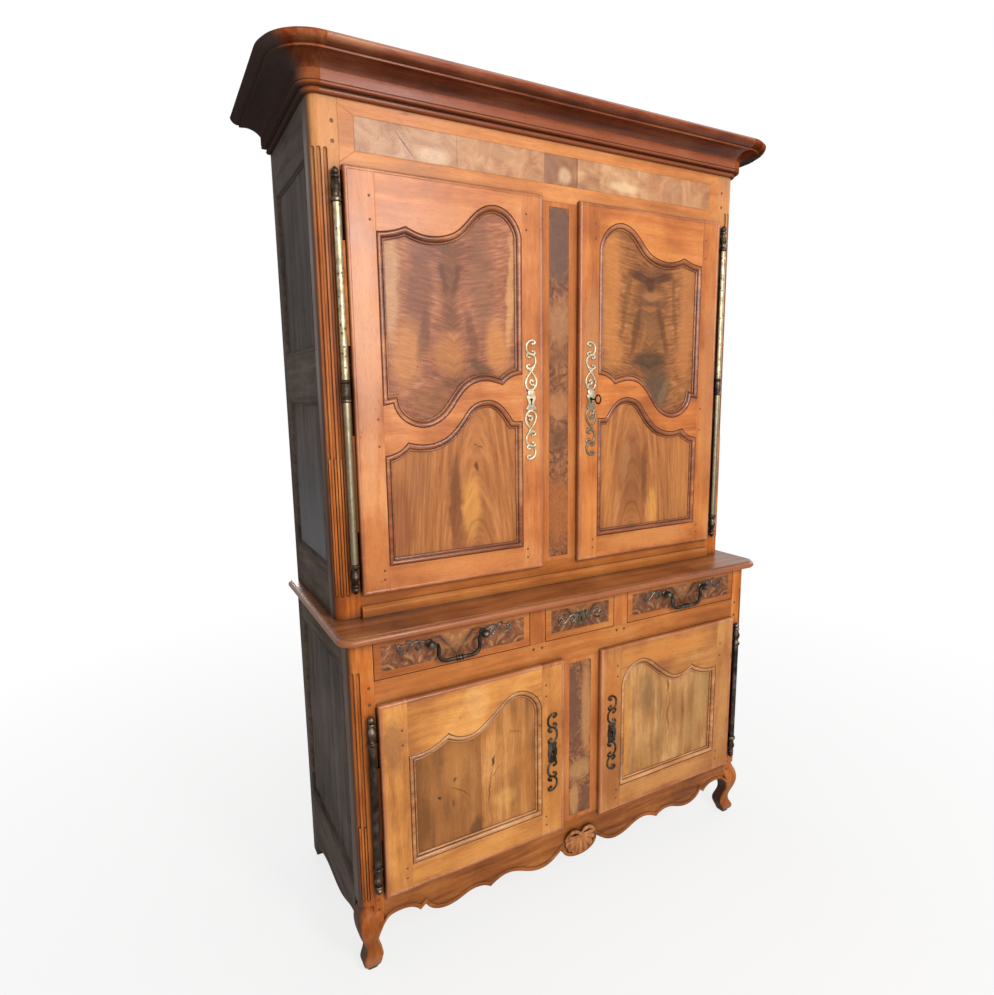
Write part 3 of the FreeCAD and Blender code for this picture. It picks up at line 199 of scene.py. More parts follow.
def skin(rows, ring=False):
    """Closed shell over cross-sections. The last joins the first in a ring, or else both ends are capped."""
    count = len(rows[0])
    points = [point for row in rows for point in row]
    faces = []
    for i in range(len(rows) if ring else len(rows) - 1):
        here, ahead = i * count, (i + 1) % len(rows) * count
        for j in range(count):
            k = (j + 1) % count
            faces.append((here + j, here + k, ahead + k, ahead + j))
    if not ring:
        faces += [tuple(range(count)), tuple(range(len(points) - count, len(points)))]
    return points, faces


def piece(name, body, slot, material, shells, *replaced):
    """A new mesh of closed shells that rides on a body."""
    form = bmesh.new()
    for points, faces in shells:
        corners = [form.verts.new(point) for point in points]
        for face in faces:
            form.faces.new([corners[i] for i in face])
    bmesh.ops.recalc_face_normals(form, faces=form.faces)
    mesh = bpy.data.meshes.new(name)
    form.to_mesh(mesh)
    form.free()
    mesh.polygons.foreach_set("use_smooth", [True] * len(mesh.polygons))
    mesh.set_sharp_from_angle(angle=math.radians(40))
    mesh.materials.append(material)
    made = bpy.data.objects.new(name, mesh)
    bpy.context.collection.objects.link(made)
    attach(made, body)
    if replaced:
        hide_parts(*replaced)


def smooth(points, steps=7):
    """Points along one smooth line through the given ones."""
    line = [Vector(point) for point in points]
    line = [2 * line[0] - line[1]] + line + [2 * line[-1] - line[-2]]
    run = []
    for a, b, c, d in zip(line, line[1:], line[2:], line[3:]):
        for i in range(steps):
            t = i / steps
            run.append(0.5 * (2 * b + (c - a) * t + (2 * a - 5 * b + 4 * c - d) * t * t
                              + (3 * b - a - 3 * c + d) * t * t * t))
    return run + [line[-2]]


def rope(points, radii, sides=10):
    """Round bar along a line of points, with its own radius at each."""
    rows = []
    for i, here in enumerate(points):
        along = (points[min(i + 1, len(points) - 1)] - points[max(i - 1, 0)]).normalized()
        across = along.cross(Vector((0, 1, 0)))
        if across.length < 0.3:
            across = along.cross(Vector((1, 0, 0)))
        across.normalize()
        over = along.cross(across)
        turns = [2 * math.pi * j / sides for j in range(sides)]
        rows.append([here + radii[i] * (math.cos(a) * across + math.sin(a) * over) for a in turns])
    return skin(rows)


shell_top = 0.172
shell_face = -0.281
shell_seat = shell_face + 0.004
shell_rays = 9
longest_ray = 0.067
half_fan = math.radians(98)
fan_steps = 72
ray_steps = 12
boss_rings = 8
brow_line = ((0.003, -0.287, 0.176), (0.013, -0.289, 0.187), (0.031, -0.289, 0.191),
             (0.048, -0.288, 0.181), (0.057, -0.285, 0.166))
rims = []
for i in range(2 * fan_steps + 1):
    swing = i / fan_steps - 1
    angle = half_fan * swing
    ray = abs(math.cos(swing * shell_rays * math.pi / 2))
    reach = (longest_ray - 0.011 * swing ** 2) * (0.93 + 0.07 * ray)
    row = [(0, shell_seat, shell_top)]
    for k in range(ray_steps + 1):
        share = k / ray_steps
        swell = 0.0085 * math.sin(math.pi * (0.12 + 0.8 * share)) + 0.0045 * ray * share ** 0.7
        out = reach * (0.06 + 0.94 * share)
        row.append((out * math.sin(angle), shell_face - swell, shell_top - out * math.cos(angle)))
    row.append((reach * math.sin(angle), shell_seat, shell_top - reach * math.cos(angle)))
    rims.append(row)
shell_parts = [skin(rims)]
for hand in (-1, 1):
    brow = smooth([(hand * x, y, z) for x, y, z in brow_line])
    swells = [math.sin(math.pi * i / len(brow)) for i in range(len(brow))]
    shell_parts.append(rope(brow, [0.0042 + 0.002 * swell for swell in swells]))
boss = [Vector((0, shell_face - 0.0017 * i, 0.174)) for i in range(boss_rings)]
domes = [math.sqrt(max(0.03, 1 - (i / 7.2) ** 2)) for i in range(boss_rings)]
shell_parts.append(rope(boss, [0.0085 * dome for dome in domes]))
# Waxed walnut, carved: each hollow dark with dirt and painted shade, and the rays' crests rubbed nearly
# blond.
shell_walnut = wood("waxed walnut, carved", "#6f3a1a", "#a8652f", "#d0925a", band_mm=14, rough=0.36,
                    grime_and_shade=1.0, wear_and_highlight=0.6)
piece("carved_shell", "carcass", "walnut_frame", shell_walnut, shell_parts, "shell_carving")

# Beads down the inner corners of the legs. Each carries on the bead of the apron's edge, worked in the
# leg itself and waxed as the apron is, round the arch and down to the foot.
leg_bead_radius = 0.0042
leg_bead_line = ((0.6450, -0.2805, 0.1635), (0.6550, -0.2815, 0.1585), (0.6645, -0.2845, 0.1510),
                 (0.6710, -0.2862, 0.1440), (0.6755, -0.2862, 0.1350), (0.6800, -0.2838, 0.1225),
                 (0.6828, -0.2798, 0.1100), (0.6840, -0.2762, 0.1000), (0.6822, -0.2712, 0.0880),
                 (0.6788, -0.2682, 0.0760), (0.6745, -0.2652, 0.0620), (0.6722, -0.2662, 0.0500),
                 (0.6710, -0.2688, 0.0400), (0.6738, -0.2735, 0.0300))
shells = []
for hand in (-1, 1):
    line = smooth([(hand * x, y, z) for x, y, z in leg_bead_line])
    tapers = [min(1.0, 0.5 + 0.1 * min(i, len(line) - 1 - i)) for i in range(len(line))]
    shells.append(rope(line, [leg_bead_radius * taper for taper in tapers]))
piece("leg_beads", "carcass", "walnut_frame", apron_walnut, shells)

# Rails of the front and the fixed stiles. Straight walnut, tenoned into the posts and pegged; the
# level pieces show their grain lying down.
# Waxed walnut up under the crown: paler and more orange, where least smoke and least handling came.
rail_walnut = wood("waxed walnut, frieze", "#a8622d", "#c67a3f", "#d89254", turn=along_x)
dress(rail_walnut, "frieze_rail", "frieze_ears")
# Waxed walnut of the rails below: a deeper brown, its dull shine broken by handling.
low_rail_walnut = wood("waxed walnut, rails below", "#93501e", "#ad642a", "#bf7b3e", turn=along_x,
                       specular=0.28)
dress(low_rail_walnut, "drawer_rail", "upper_bottom_rail", "base_strip")
# Waxed walnut of the upright stiles: the same brown, with its bands standing up.
stile_walnut = wood("waxed walnut, stiles", "#98511f", "#b3662f", "#c47c40", specular=0.28)
dress(stile_walnut, "drawer_dividers", "lower_centre_stile", "upper_centre_stile")


# Sides. Frame and panel in walnut that smoke and old varnish have turned nearly black; a small moulding
# runs round each sunk panel, and a grey sheen is painted low on the upper sides.
def painted_sheen_low_on_sides(tree, place, tone, colour):
    """Painted grey sheen, ragged at its top, low on each upper side's bottom panel."""
    ragged_mm = 120
    ragged = add(tree, "TexNoise", {"Vector": place, "Scale": 1000 / ragged_mm, "Detail": 5.0})
    height = add(tree, "SeparateXYZ", {"Vector": place}).outputs["Z"]
    level = add(tree, "Math", {0: ragged, 1: 0.22, 2: height}, operation="MULTIPLY_ADD")
    below = add(tree, "MapRange", {"Value": level, "From Min": 1.64, "From Max": 1.3, "To Max": 0.5})
    above = add(tree, "Math", {0: height, 1: 1.0}, operation="GREATER_THAN")
    painted_sheen = add(tree, "Math", {0: below, 1: above}, operation="MULTIPLY")
    # The painted sheen: a bluish grey laid over the wood.
    return add(tree, "Mix", {"Factor": painted_sheen, "A": colour, "B": linear("#8f9197")}, data_type="RGBA")


# Smoked walnut in wide boards: broad faint bands under a matt film, with a painted grey sheen low down.
dress(wood("smoke-darkened walnut, side panels", "#3f3733", "#5c524d", "#736862", band_mm=34, grime_and_shade=0.7,
           wear_and_highlight=0.1, tint=painted_sheen_low_on_sides, **smoked_matt), "side_panels")
along_y = (math.radians(90), 0, 0)
# Smoked walnut of the level rails: the same black brown, a little paler along its rubbed edges.
side_rail_walnut = wood("smoke-darkened walnut, side rails", *smoked, turn=along_y, grime_and_shade=0.8, wear_and_highlight=0.2,
                        **smoked_matt)
dress(side_rail_walnut, "side_rails")


def inset(loop, distance):
    """A closed loop moved inwards, with mitred corners."""
    moved = []
    for i, here in enumerate(loop):
        before = (here - loop[i - 1]).normalized()
        after = (loop[(i + 1) % len(loop)] - here).normalized()
        sides = Vector((-before.y, before.x)), Vector((-after.y, after.x))
        moved.append(here + (sides[0] + sides[1]) * (distance / (1 + sides[0].dot(sides[1]))))
    return moved


def moulding(loop, face, profile, corner_mm=16):
    """Moulding round a loop, in lengths mitred at its corners. The profile gives millimetres inwards from
    the loop and out from the face; a curve starts clear of the inner corners, so that the mitres close."""
    mitre = math.radians(28)
    bends = [(here - loop[i - 1]).angle_signed(loop[(i + 1) % len(loop)] - here)
             for i, here in enumerate(loop)]
    inner = [here for here, bend in zip(loop, bends) if bend > mitre]
    kept = [abs(bend) > mitre or all((here - corner).length > corner_mm / 1000 for corner in inner)
            for here, bend in zip(loop, bends)]
    line = [here for here, keep in zip(loop, kept) if keep]
    mitres = [i for i, bend in enumerate(b for b, keep in zip(bends, kept) if keep) if abs(bend) > mitre]
    runs = [(inset(line, a / 1000), face - b / 1000) for a, b in profile]
    rows = [[(run[i].x, y, run[i].y) for run, y in runs] for i in range(len(line))] * 2
    return [skin(rows[a:b + 1]) for a, b in zip(mitres, mitres[1:] + [mitres[0] + len(line)])]


side_profile = ((-1.0, -9), (-1.0, 0.0), (1.5, 0.9), (5.0, 0.6), (8.5, -1.2), (10.0, -3.6), (10.6, -5.2),
                (12.2, -4.6), (14.2, -5.0), (15.5, -6.4), (15.9, -9))
# Face of the side, front edge, bottom and top of each panel's opening.
side_openings = ((0.726, -0.216, 0.250, 0.880), (0.722, -0.102, 1.120, 1.582),
                 (0.722, -0.102, 1.710, 2.185))
back_edge = 0.270
shells = []
for hand in (-1, 1):
    for face, front_edge, bottom, top in side_openings:
        corners = ((front_edge, bottom), (back_edge, bottom), (back_edge, top), (front_edge, top))
        for points, faces in moulding([Vector(corner) for corner in corners], 0, side_profile):
            shells.append(([(hand * (face - out), y, z) for y, out, z in points], faces))
piece("side_mouldings", "carcass", "dark_walnut", side_rail_walnut, shells)

# Inside boards. Shelves, floors and runners are plain softwood, never polished, and the back is of
# wide sawn boards set upright.
bare = dict(rough=0.7, specular=0.2, wear_and_highlight=0.1, drift=0.3, band_mm=24)
bare_tones = ("#8e6746", "#b28a63", "#caa681")
# Bare softwood: dry pale tan, matt, with even bands; the same wood with its grain front to back.
softwood = wood("bare softwood, level", *bare_tones, turn=along_x, **bare)
dress(softwood, "lower_floor", "upper_floor", "upper_ceiling", "shelves")
dress(wood("bare softwood, front to back", *bare_tones, turn=along_y, **bare),
      "shelf_cleats", "drawer_runners")


def board_joints(tree, place, tone, colour):
    """Six boards in each back, each of its own shade, with a dark open joint between them."""
    lower_half_board = 0.11267
    upper_half_board = 0.112
    at = add(tree, "SeparateXYZ", {"Vector": place}).outputs
    half = add(tree, "MapRange", {"Value": at["Z"], "From Min": 0.97, "From Max": 0.99,
                                  "To Min": lower_half_board, "To Max": upper_half_board})
    width = add(tree, "Math", {0: half, 1: 2.0}, operation="MULTIPLY")
    number = add(tree, "Math", {0: at["X"], 1: width}, operation="SNAP")
    shade = add(tree, "TexWhiteNoise", {"W": number}, noise_dimensions="1D").outputs["Value"]
    shade = add(tree, "MapRange", {"Value": shade, "To Min": 0.78, "To Max": 1.18})
    colour = add(tree, "VectorMath", {0: colour, "Scale": shade}, operation="SCALE")
    far = add(tree, "Math", {0: at["X"], 1: half}, operation="PINGPONG")
    return stained(tree, colour, (far, 0.0026, 0.001, 0.9, "#1e140c"))


# Bare softwood boards: browner from age and dust, in long straight bands, no two boards alike.
dress(wood("bare softwood, upright", "#7c563b", "#a17653", "#bd946e", tint=board_joints, stretch=20, **bare),
      "back_boards")


# Top board of the lower body. One wide walnut board with a rounded nose; the flat has darkened under
# wax and dust, and the nose is rubbed back to red by hands.
def rubbed_nose(tree, place, tone, colour):
    """Redder and paler wherever the board doesn't face up."""
    facing = add(tree, "SeparateXYZ", {"Vector": add(tree, "NewGeometry").outputs["Normal"]}).outputs
    return stained(tree, colour, (facing["Z"], 0.95, 0.5, 0.75, "#9a5630"))


# Polished walnut: dark brown with wide bands and a clear shine along the flat.
dress(wood("polished walnut, top", "#55301a", "#8c532c", "#b0713f", turn=along_x, band_mm=26, rough=0.3,
           specular=0.4, tint=rubbed_nose), "lower_top")


# Veneers let into the frieze and the fixed stiles. Five lengths of pale burr over the doors; darker
# figured walnut, in brown and tan quarters, on the stiles.
def blots(tree, place, colour, spots, ragged_mm=45, figure=None):
    """Soft patches of figure with ragged edges: middle x and z, half width, half height, colour, strength
    and tilt in degrees."""
    fray_mm = 60
    reach = ragged_mm / 1000
    ragged = add(tree, "TexNoise", {"Vector": figure or place, "Scale": 1000 / fray_mm, "Detail": 6.0,
                                    "Roughness": 0.62})
    moved = add(tree, "VectorMath", {0: ragged.outputs["Color"], 1: (reach, 0, reach), 2: place},
                operation="MULTIPLY_ADD")
    for x, z, wide, tall, code, strength, *tilt in spots:
        off = add(tree, "Mapping", {"Vector": moved, "Location": (x + reach / 2, 0, z + reach / 2),
                                    "Rotation": (0, math.radians(sum(tilt)), 0),
                                    "Scale": (wide, 1000, tall)}, vector_type="TEXTURE")
        far = add(tree, "VectorMath", {0: off}, operation="LENGTH").outputs["Value"]
        share = add(tree, "MapRange", {"Value": far, "From Min": 0.4, "From Max": 1.0, "To Min": strength,
                                       "To Max": 0.0}, interpolation_type="SMOOTHSTEP")
        colour = add(tree, "Mix", {"Factor": share, "A": colour, "B": linear(code)}, data_type="RGBA")
    return colour


def burr(tree, place, eye_mm, swirl_share=2.2):
    """Swirled burr figure, from dark eyes to pale grain."""
    swirl = add(tree, "TexNoise", {"Vector": place, "Scale": 1000 / eye_mm, "Detail": 6.0, "Roughness": 0.6,
                                   "Distortion": swirl_share})
    return add(tree, "MapRange", {"Value": swirl, "From Min": 0.3, "From Max": 0.7})


stile_spots = (
    (0, 2.03, 0.06, 0.17, "#664638", 0.9), (0, 1.80, 0.06, 0.09, "#a8744c", 0.7),
    (0, 1.70, 0.06, 0.05, "#875638", 0.6), (0, 1.55, 0.06, 0.06, "#b0764a", 0.7),
    (0, 1.45, 0.06, 0.05, "#6f452c", 0.7), (0, 1.22, 0.06, 0.16, "#a5602f", 0.7),
    (-0.024, 0.62, 0.026, 0.2, "#6a432d", 0.9), (0.024, 0.6, 0.026, 0.22, "#b27c4c", 0.8),
    (0, 0.40, 0.06, 0.05, "#b5844f", 0.7), (-0.022, 0.3, 0.024, 0.08, "#b98550", 0.8),
    (0.022, 0.29, 0.024, 0.07, "#6d4630", 0.85))
frieze_half = 0.610
frieze_foot = 2.16
frieze_joints = (-0.54, -0.093, 0.103, 0.56)
frieze_shades = ("#e6d8cc", "#ead7c6", "#c4ad9d", "#f6e8d6", "#ecd6c0")
frieze_spots = (
    (-0.475, 2.225, 0.0022, 0.05, "#4a2f1f", 0.85, -42), (0.02, 2.22, 0.03, 0.03, "#dcb78f", 0.6),
    (-0.03, 2.24, 0.028, 0.05, "#8d6450", 0.6), (0.24, 2.215, 0.08, 0.02, "#e2c196", 0.6),
    (-0.20, 2.25, 0.06, 0.02, "#b58763", 0.6), (0.45, 2.24, 0.05, 0.03, "#b98a64", 0.5),
    (-0.40, 2.21, 0.06, 0.03, "#d9b694", 0.6))


def veneer_tones(tree, place, tone, colour):
    """Five burr lengths on the frieze and dark walnut on the stiles below."""
    at = add(tree, "SeparateXYZ", {"Vector": place}).outputs
    pale = add(tree, "ValToRGB", {"Fac": burr(tree, place, eye_mm=85, swirl_share=1.4)}, [
        (0.0, linear("#a0755a")), (1.0, linear("#d8b492")),
        (0.42, linear("#be9270")), (0.66, linear("#cba17d"))])
    share = add(tree, "MapRange", {"Value": at["X"], "From Min": -frieze_half, "From Max": frieze_half})
    ends = [(0.0, linear(frieze_shades[0])), (1.0, linear(frieze_shades[4]))]
    joints = [(0.5 + 0.5 * joint, linear(shade)) for joint, shade in zip(frieze_joints, frieze_shades[1:])]
    lengths = add(tree, "ValToRGB", {"Fac": share}, ends + joints)
    lengths.color_ramp.interpolation = "CONSTANT"
    pale = add(tree, "Mix", {"Factor": 1.0, "A": pale, "B": lengths}, data_type="RGBA",
               blend_type="MULTIPLY")
    pale = blots(tree, place, pale, frieze_spots, ragged_mm=20)
    brown = add(tree, "ValToRGB", {"Fac": burr(tree, place, eye_mm=34)}, [
        (0.1, linear("#4d2c1c")), (0.9, linear("#a06a42")), (0.5, linear("#7a4a2d"))])
    brown = blots(tree, place, brown, stile_spots, ragged_mm=24)
    below = add(tree, "Math", {0: at["Z"], 1: frieze_foot}, operation="LESS_THAN")
    return add(tree, "Mix", {"Factor": below, "A": pale, "B": brown}, data_type="RGBA")


# Burr walnut veneer: clouded pink tan with swirls and small eyes, no straight grain, dully polished.
dress(wood("burr walnut veneer", "#b07a56", "#d0a17a", "#e3bf9a", stretch=3, grime_and_shade=0.3, wear_and_highlight=0.0,
           rough=0.38, tint=veneer_tones), "burr_inlays")


# Crown moulding, planed in lengths and mitred round the corners, stained and polished dark red. Its
# hollow underside carries painted shade, nearly black, and its returns to the wall have gone nearly black.
def crown_stain_and_painted_shade(tree, place, tone, colour):
    """Painted shade, nearly black, where the moulding faces down; blackened all along the returns, reddened
    at its foot, and left bare behind."""
    corner_start = 0.7
    facing = add(tree, "SeparateXYZ", {"Vector": add(tree, "NewGeometry").outputs["Normal"]}).outputs
    at = add(tree, "SeparateXYZ", {"Vector": place}).outputs
    away = add(tree, "Math", {0: at["X"]}, operation="ABSOLUTE")
    past = add(tree, "Math", {0: away, 1: corner_start}, operation="GREATER_THAN")
    round_corner = add(tree, "Math", {0: away, 1: at["Y"]}, operation="ADD")
    round_corner = add(tree, "Math", {0: round_corner, 1: past}, operation="MULTIPLY")
    return stained(tree, colour,
                   # Painted shade: nearly black wherever the moulding faces down.
                   (facing["Z"], -0.25, -0.8, 0.65, "#240b04"),
                   (at["Z"], 2.36, 2.335, 0.75, "#8c4a2a"),
                   (round_corner, 0.548, 0.6, 0.92, "#403836"),
                   (facing["Y"], 0.5, 0.9, 0.75, "#5d4030"))


def crown_grain(tree, place):
    """Grain front to back in the returns and level in the rail behind."""
    rail_end = 0.68
    at = add(tree, "SeparateXYZ", {"Vector": place}).outputs
    away = add(tree, "Math", {0: at["X"]}, operation="ABSOLUTE")
    rail = add(tree, "Math", {0: away, 1: rail_end}, operation="LESS_THAN")
    deep = add(tree, "CombineXYZ", {"X": at["X"], "Y": at["Z"], "Z": at["Y"]})
    level = add(tree, "CombineXYZ", {"X": at["Z"], "Y": at["Y"], "Z": at["X"]})
    return add(tree, "Mix", {"Factor": rail, "A": deep, "B": level}, data_type="VECTOR")


crown_tones = ("#5c2510", "#934727", "#b6734a")
# Stained walnut: deep red brown, bright on its rounds with polish, wear and a painted highlight, and dark in
# every hollow with dirt and painted shade.
dress(wood("stained walnut, crown", *crown_tones, turn=along_x, rough=0.3, specular=0.34, wear_and_highlight=0.4,
           tint=crown_stain_and_painted_shade), "cornice_front")
# The same stain on the returns, where smoke has dulled it: matt brown black.
dress(wood("stained walnut, crown returns", *crown_tones, reshape=crown_grain, rough=0.5, specular=0.0,
           grime_and_shade=0.35, wear_and_highlight=0.15, tint=crown_stain_and_painted_shade), "cornice_ends")

# Pegs of the carcass joints. Each is split from dark heartwood, driven through its mortise and tenon,
# and cut off close to the frame.
# Heartwood on end: small dark dots with close rings.
peg_wood = wood("heartwood pegs", "#4a2913", "#6b3e20", "#88552f", turn=along_y, band_mm=4, stretch=3)
dress(peg_wood, "carcass_pegs")

# Door frames. Stiles and rails are mortised together and pegged, with the grain upright in the stiles and
# level in the rails; each door has faded and darkened in patches of its own, and the upper left door has a
# painted sheen down its hinge stile.
door_tones = {
    "upper_left_door": ("#a0582a", "#be7039", "#d28c52"),
    "upper_right_door": ("#9f5523", "#be6d32", "#d08442"),
    "lower_left_door": ("#a5632a", "#c8833c", "#db9b50"),
    "lower_right_door": ("#8f5222", "#ad6c31", "#c28645"),
}
door_spots = {
    "upper_left_door": (
        # First, a painted sheen, pale and pinkish, down the hinge stile.
        (-0.610, 1.70, 0.05, 0.45, "#c98e66", 0.5), (-0.36, 2.06, 0.22, 0.05, "#c98350", 0.5),
        (-0.34, 1.10, 0.26, 0.05, "#cf8446", 0.6), (-0.61, 1.16, 0.05, 0.12, "#c67a3e", 0.6)),
    "upper_right_door": (
        (0.36, 1.10, 0.26, 0.05, "#d08a4c", 0.75), (0.612, 1.60, 0.04, 0.50, "#b67a4b", 0.55),
        (0.112, 1.75, 0.04, 0.22, "#b57c4e", 0.55), (0.36, 2.02, 0.16, 0.05, "#cf8440", 0.5)),
    "lower_left_door": (
        (-0.112, 0.48, 0.045, 0.30, "#a5601c", 0.65), (-0.620, 0.67, 0.04, 0.10, "#8a5530", 0.65),
        (-0.370, 0.73, 0.05, 0.07, "#dca564", 0.5), (-0.40, 0.265, 0.25, 0.03, "#cf8a42", 0.5)),
    "lower_right_door": (
        (0.36, 0.27, 0.25, 0.04, "#c98a49", 0.65), (0.35, 0.74, 0.26, 0.05, "#cc8034", 0.6),
        (0.62, 0.46, 0.04, 0.22, "#c48a4c", 0.5), (0.112, 0.64, 0.045, 0.13, "#b56522", 0.7),
        (0.112, 0.33, 0.045, 0.13, "#93531f", 0.6)),
}


def in_upper_body(door):
    """Whether a door hangs in the upper body."""
    return door.startswith("upper")


def door_grain(door):
    """Grain upright in a door's stiles and level in the rails between them."""
    inner, outer = (0.139, 0.569) if in_upper_body(door) else (0.152, 0.580)

    def reshape(tree, place):
        at = add(tree, "SeparateXYZ", {"Vector": place}).outputs
        away = add(tree, "Math", {0: at["X"]}, operation="ABSOLUTE")
        past = add(tree, "Math", {0: away, 1: inner}, operation="GREATER_THAN")
        within = add(tree, "Math", {0: away, 1: outer}, operation="LESS_THAN")
        rail = add(tree, "Math", {0: past, 1: within}, operation="MULTIPLY")
        level = add(tree, "CombineXYZ", {"X": at["Z"], "Y": at["Y"], "Z": at["X"]})
        return add(tree, "Mix", {"Factor": rail, "A": place, "B": level}, data_type="VECTOR")
    return reshape


def door_tint(door):
    """Patches of one door's frame that have faded or darkened, and the painted sheen of the upper left door.
    """
    def tint(tree, place, tone, colour):
        return blots(tree, place, colour, door_spots[door], ragged_mm=70)
    return tint


for door, tones in door_tones.items():
    # Waxed walnut: honey to red brown, lively in its bands, with an even soft shine.
    door_walnut = wood("waxed walnut, " + door, *tones, reshape=door_grain(door), drift=0.55, contrast=1.2,
                       rough=0.35, specular=0.4, tint=door_tint(door))
    dress(door_walnut, door + "_frame")

# Door panels, sunk in grooves of the frames. Each upper door has a panel of crotch walnut, rippled like a
# feather either side of its middle, over a plain one; each lower door has two boards glued edge to edge.
panel_middle = 0.354
board_joint = 0.357
panel_tones = {
    "upper_left_door": ("#653a2a", "#965d42", "#b87c58"),
    "upper_right_door": ("#5f3a24", "#945d36", "#b87c45"),
    "lower_left_door": ("#8a5a30", "#b0733c", "#c98f52"),
    "lower_right_door": ("#8f5f35", "#b07c48", "#c99a63"),
}
outer_board_shades = {"lower_left_door": 0.6, "lower_right_door": 0.15}
panel_spots = {
    "upper_left_door": (
        (-0.455, 1.86, 0.05, 0.24, "#784c3a", 0.75, 4), (-0.265, 1.90, 0.05, 0.24, "#84573f", 0.7, -3),
        (-0.535, 1.88, 0.035, 0.22, "#bf8f68", 0.8), (-0.172, 1.88, 0.016, 0.24, "#c48d5a", 0.85, 2),
        (-0.361, 1.93, 0.045, 0.16, "#6f452b", 0.7), (-0.380, 1.90, 0.013, 0.06, "#522f1e", 0.5, -16),
        (-0.342, 1.90, 0.013, 0.06, "#522f1e", 0.5, 16), (-0.362, 1.80, 0.04, 0.05, "#633d28", 0.6),
        (-0.49, 1.70, 0.06, 0.12, "#c07f4c", 0.75, 8), (-0.215, 1.72, 0.05, 0.11, "#c07e48", 0.8, -8),
        (-0.368, 1.695, 0.07, 0.08, "#b1713f", 0.8), (-0.368, 1.775, 0.075, 0.02, "#6b422b", 0.4),
        (-0.440, 1.76, 0.022, 0.10, "#633d29", 0.55, 12), (-0.300, 1.76, 0.022, 0.09, "#633d29", 0.55, -12),
        (-0.270, 1.665, 0.055, 0.03, "#5f4430", 0.75, 20), (-0.42, 1.57, 0.10, 0.05, "#8a5833", 0.6),
        (-0.36, 1.62, 0.05, 0.02, "#6b442b", 0.6), (-0.53, 1.25, 0.055, 0.16, "#83492c", 0.65),
        (-0.36, 1.27, 0.03, 0.2, "#6d3f26", 0.75), (-0.31, 1.27, 0.04, 0.13, "#cf8f48", 0.75),
        (-0.47, 1.36, 0.05, 0.10, "#96603c", 0.5), (-0.293, 1.38, 0.009, 0.016, "#4a2a17", 0.8),
        (-0.285, 1.44, 0.002, 0.03, "#5a341d", 0.8, -60)),
    "upper_right_door": (
        (0.19, 1.93, 0.05, 0.34, "#b8763f", 0.85), (0.520, 1.88, 0.045, 0.30, "#b07040", 0.85),
        (0.352, 1.84, 0.11, 0.15, "#6b4429", 0.75), (0.310, 1.955, 0.07, 0.024, "#4c2d1c", 0.75, 16),
        (0.396, 1.957, 0.07, 0.024, "#4c2d1c", 0.75, -16), (0.352, 1.935, 0.03, 0.035, "#4c2d1c", 0.75),
        (0.362, 1.893, 0.06, 0.022, "#a87145", 0.7), (0.350, 1.853, 0.11, 0.008, "#a86a3a", 0.5),
        (0.296, 1.79, 0.018, 0.11, "#54331f", 0.6, 14), (0.410, 1.79, 0.018, 0.11, "#54331f", 0.6, -14),
        (0.354, 1.795, 0.05, 0.05, "#8c5c38", 0.6), (0.326, 1.76, 0.010, 0.08, "#9d6638", 0.6, 10),
        (0.250, 1.86, 0.014, 0.14, "#6d4526", 0.6, 8), (0.458, 1.86, 0.014, 0.14, "#6d4526", 0.6, -8),
        (0.358, 1.69, 0.10, 0.05, "#4d3828", 0.85), (0.39, 1.60, 0.085, 0.09, "#5f4836", 0.9),
        (0.42, 1.585, 0.02, 0.07, "#7d6147", 0.7, 20), (0.215, 1.72, 0.045, 0.07, "#b57440", 0.8),
        (0.505, 1.70, 0.04, 0.09, "#b07040", 0.8), (0.29, 1.34, 0.08, 0.19, "#875230", 0.75),
        (0.26, 1.36, 0.025, 0.09, "#a8734a", 0.7, 8), (0.345, 1.30, 0.016, 0.16, "#6d4025", 0.7),
        (0.385, 1.19, 0.03, 0.11, "#cf9046", 0.8), (0.50, 1.30, 0.05, 0.2, "#bd7a40", 0.6),
        (0.185, 1.35, 0.026, 0.2, "#c07c40", 0.75)),
    "lower_left_door": (
        (-0.49, 0.468, 0.008, 0.007, "#3a2413", 0.9), (-0.44, 0.56, 0.05, 0.12, "#b0763e", 0.65, 10),
        (-0.37, 0.34, 0.025, 0.05, "#5f3d22", 0.75), (-0.55, 0.42, 0.04, 0.14, "#74461f", 0.7),
        (-0.318, 0.53, 0.008, 0.022, "#3f2410", 0.9, 15), (-0.325, 0.46, 0.002, 0.09, "#3c2310", 0.9, 8),
        (-0.308, 0.49, 0.0016, 0.03, "#3c2310", 0.8, 40), (-0.425, 0.47, 0.0016, 0.06, "#45290f", 0.8, -50),
        (-0.44, 0.51, 0.007, 0.007, "#52310f", 0.8), (-0.24, 0.60, 0.035, 0.006, "#8d5a2c", 0.6, 20),
        (-0.20, 0.45, 0.04, 0.15, "#a9682f", 0.6), (-0.28, 0.40, 0.05, 0.04, "#cf9a55", 0.5)),
    "lower_right_door": (
        (0.178, 0.48, 0.024, 0.25, "#cf8c3e", 0.85), (0.27, 0.60, 0.05, 0.09, "#8f6a42", 0.65),
        (0.25, 0.62, 0.02, 0.05, "#ab8250", 0.6, 30), (0.25, 0.36, 0.05, 0.08, "#a3723a", 0.5),
        (0.362, 0.60, 0.006, 0.04, "#84491c", 0.85), (0.366, 0.50, 0.008, 0.09, "#8a5426", 0.8),
        (0.52, 0.56, 0.06, 0.16, "#b48c54", 0.6), (0.33, 0.45, 0.02, 0.2, "#8f6a42", 0.5),
        (0.545, 0.655, 0.0022, 0.03, "#2a180c", 0.9, -40), (0.47, 0.42, 0.05, 0.09, "#ad7f4a", 0.5)),
}


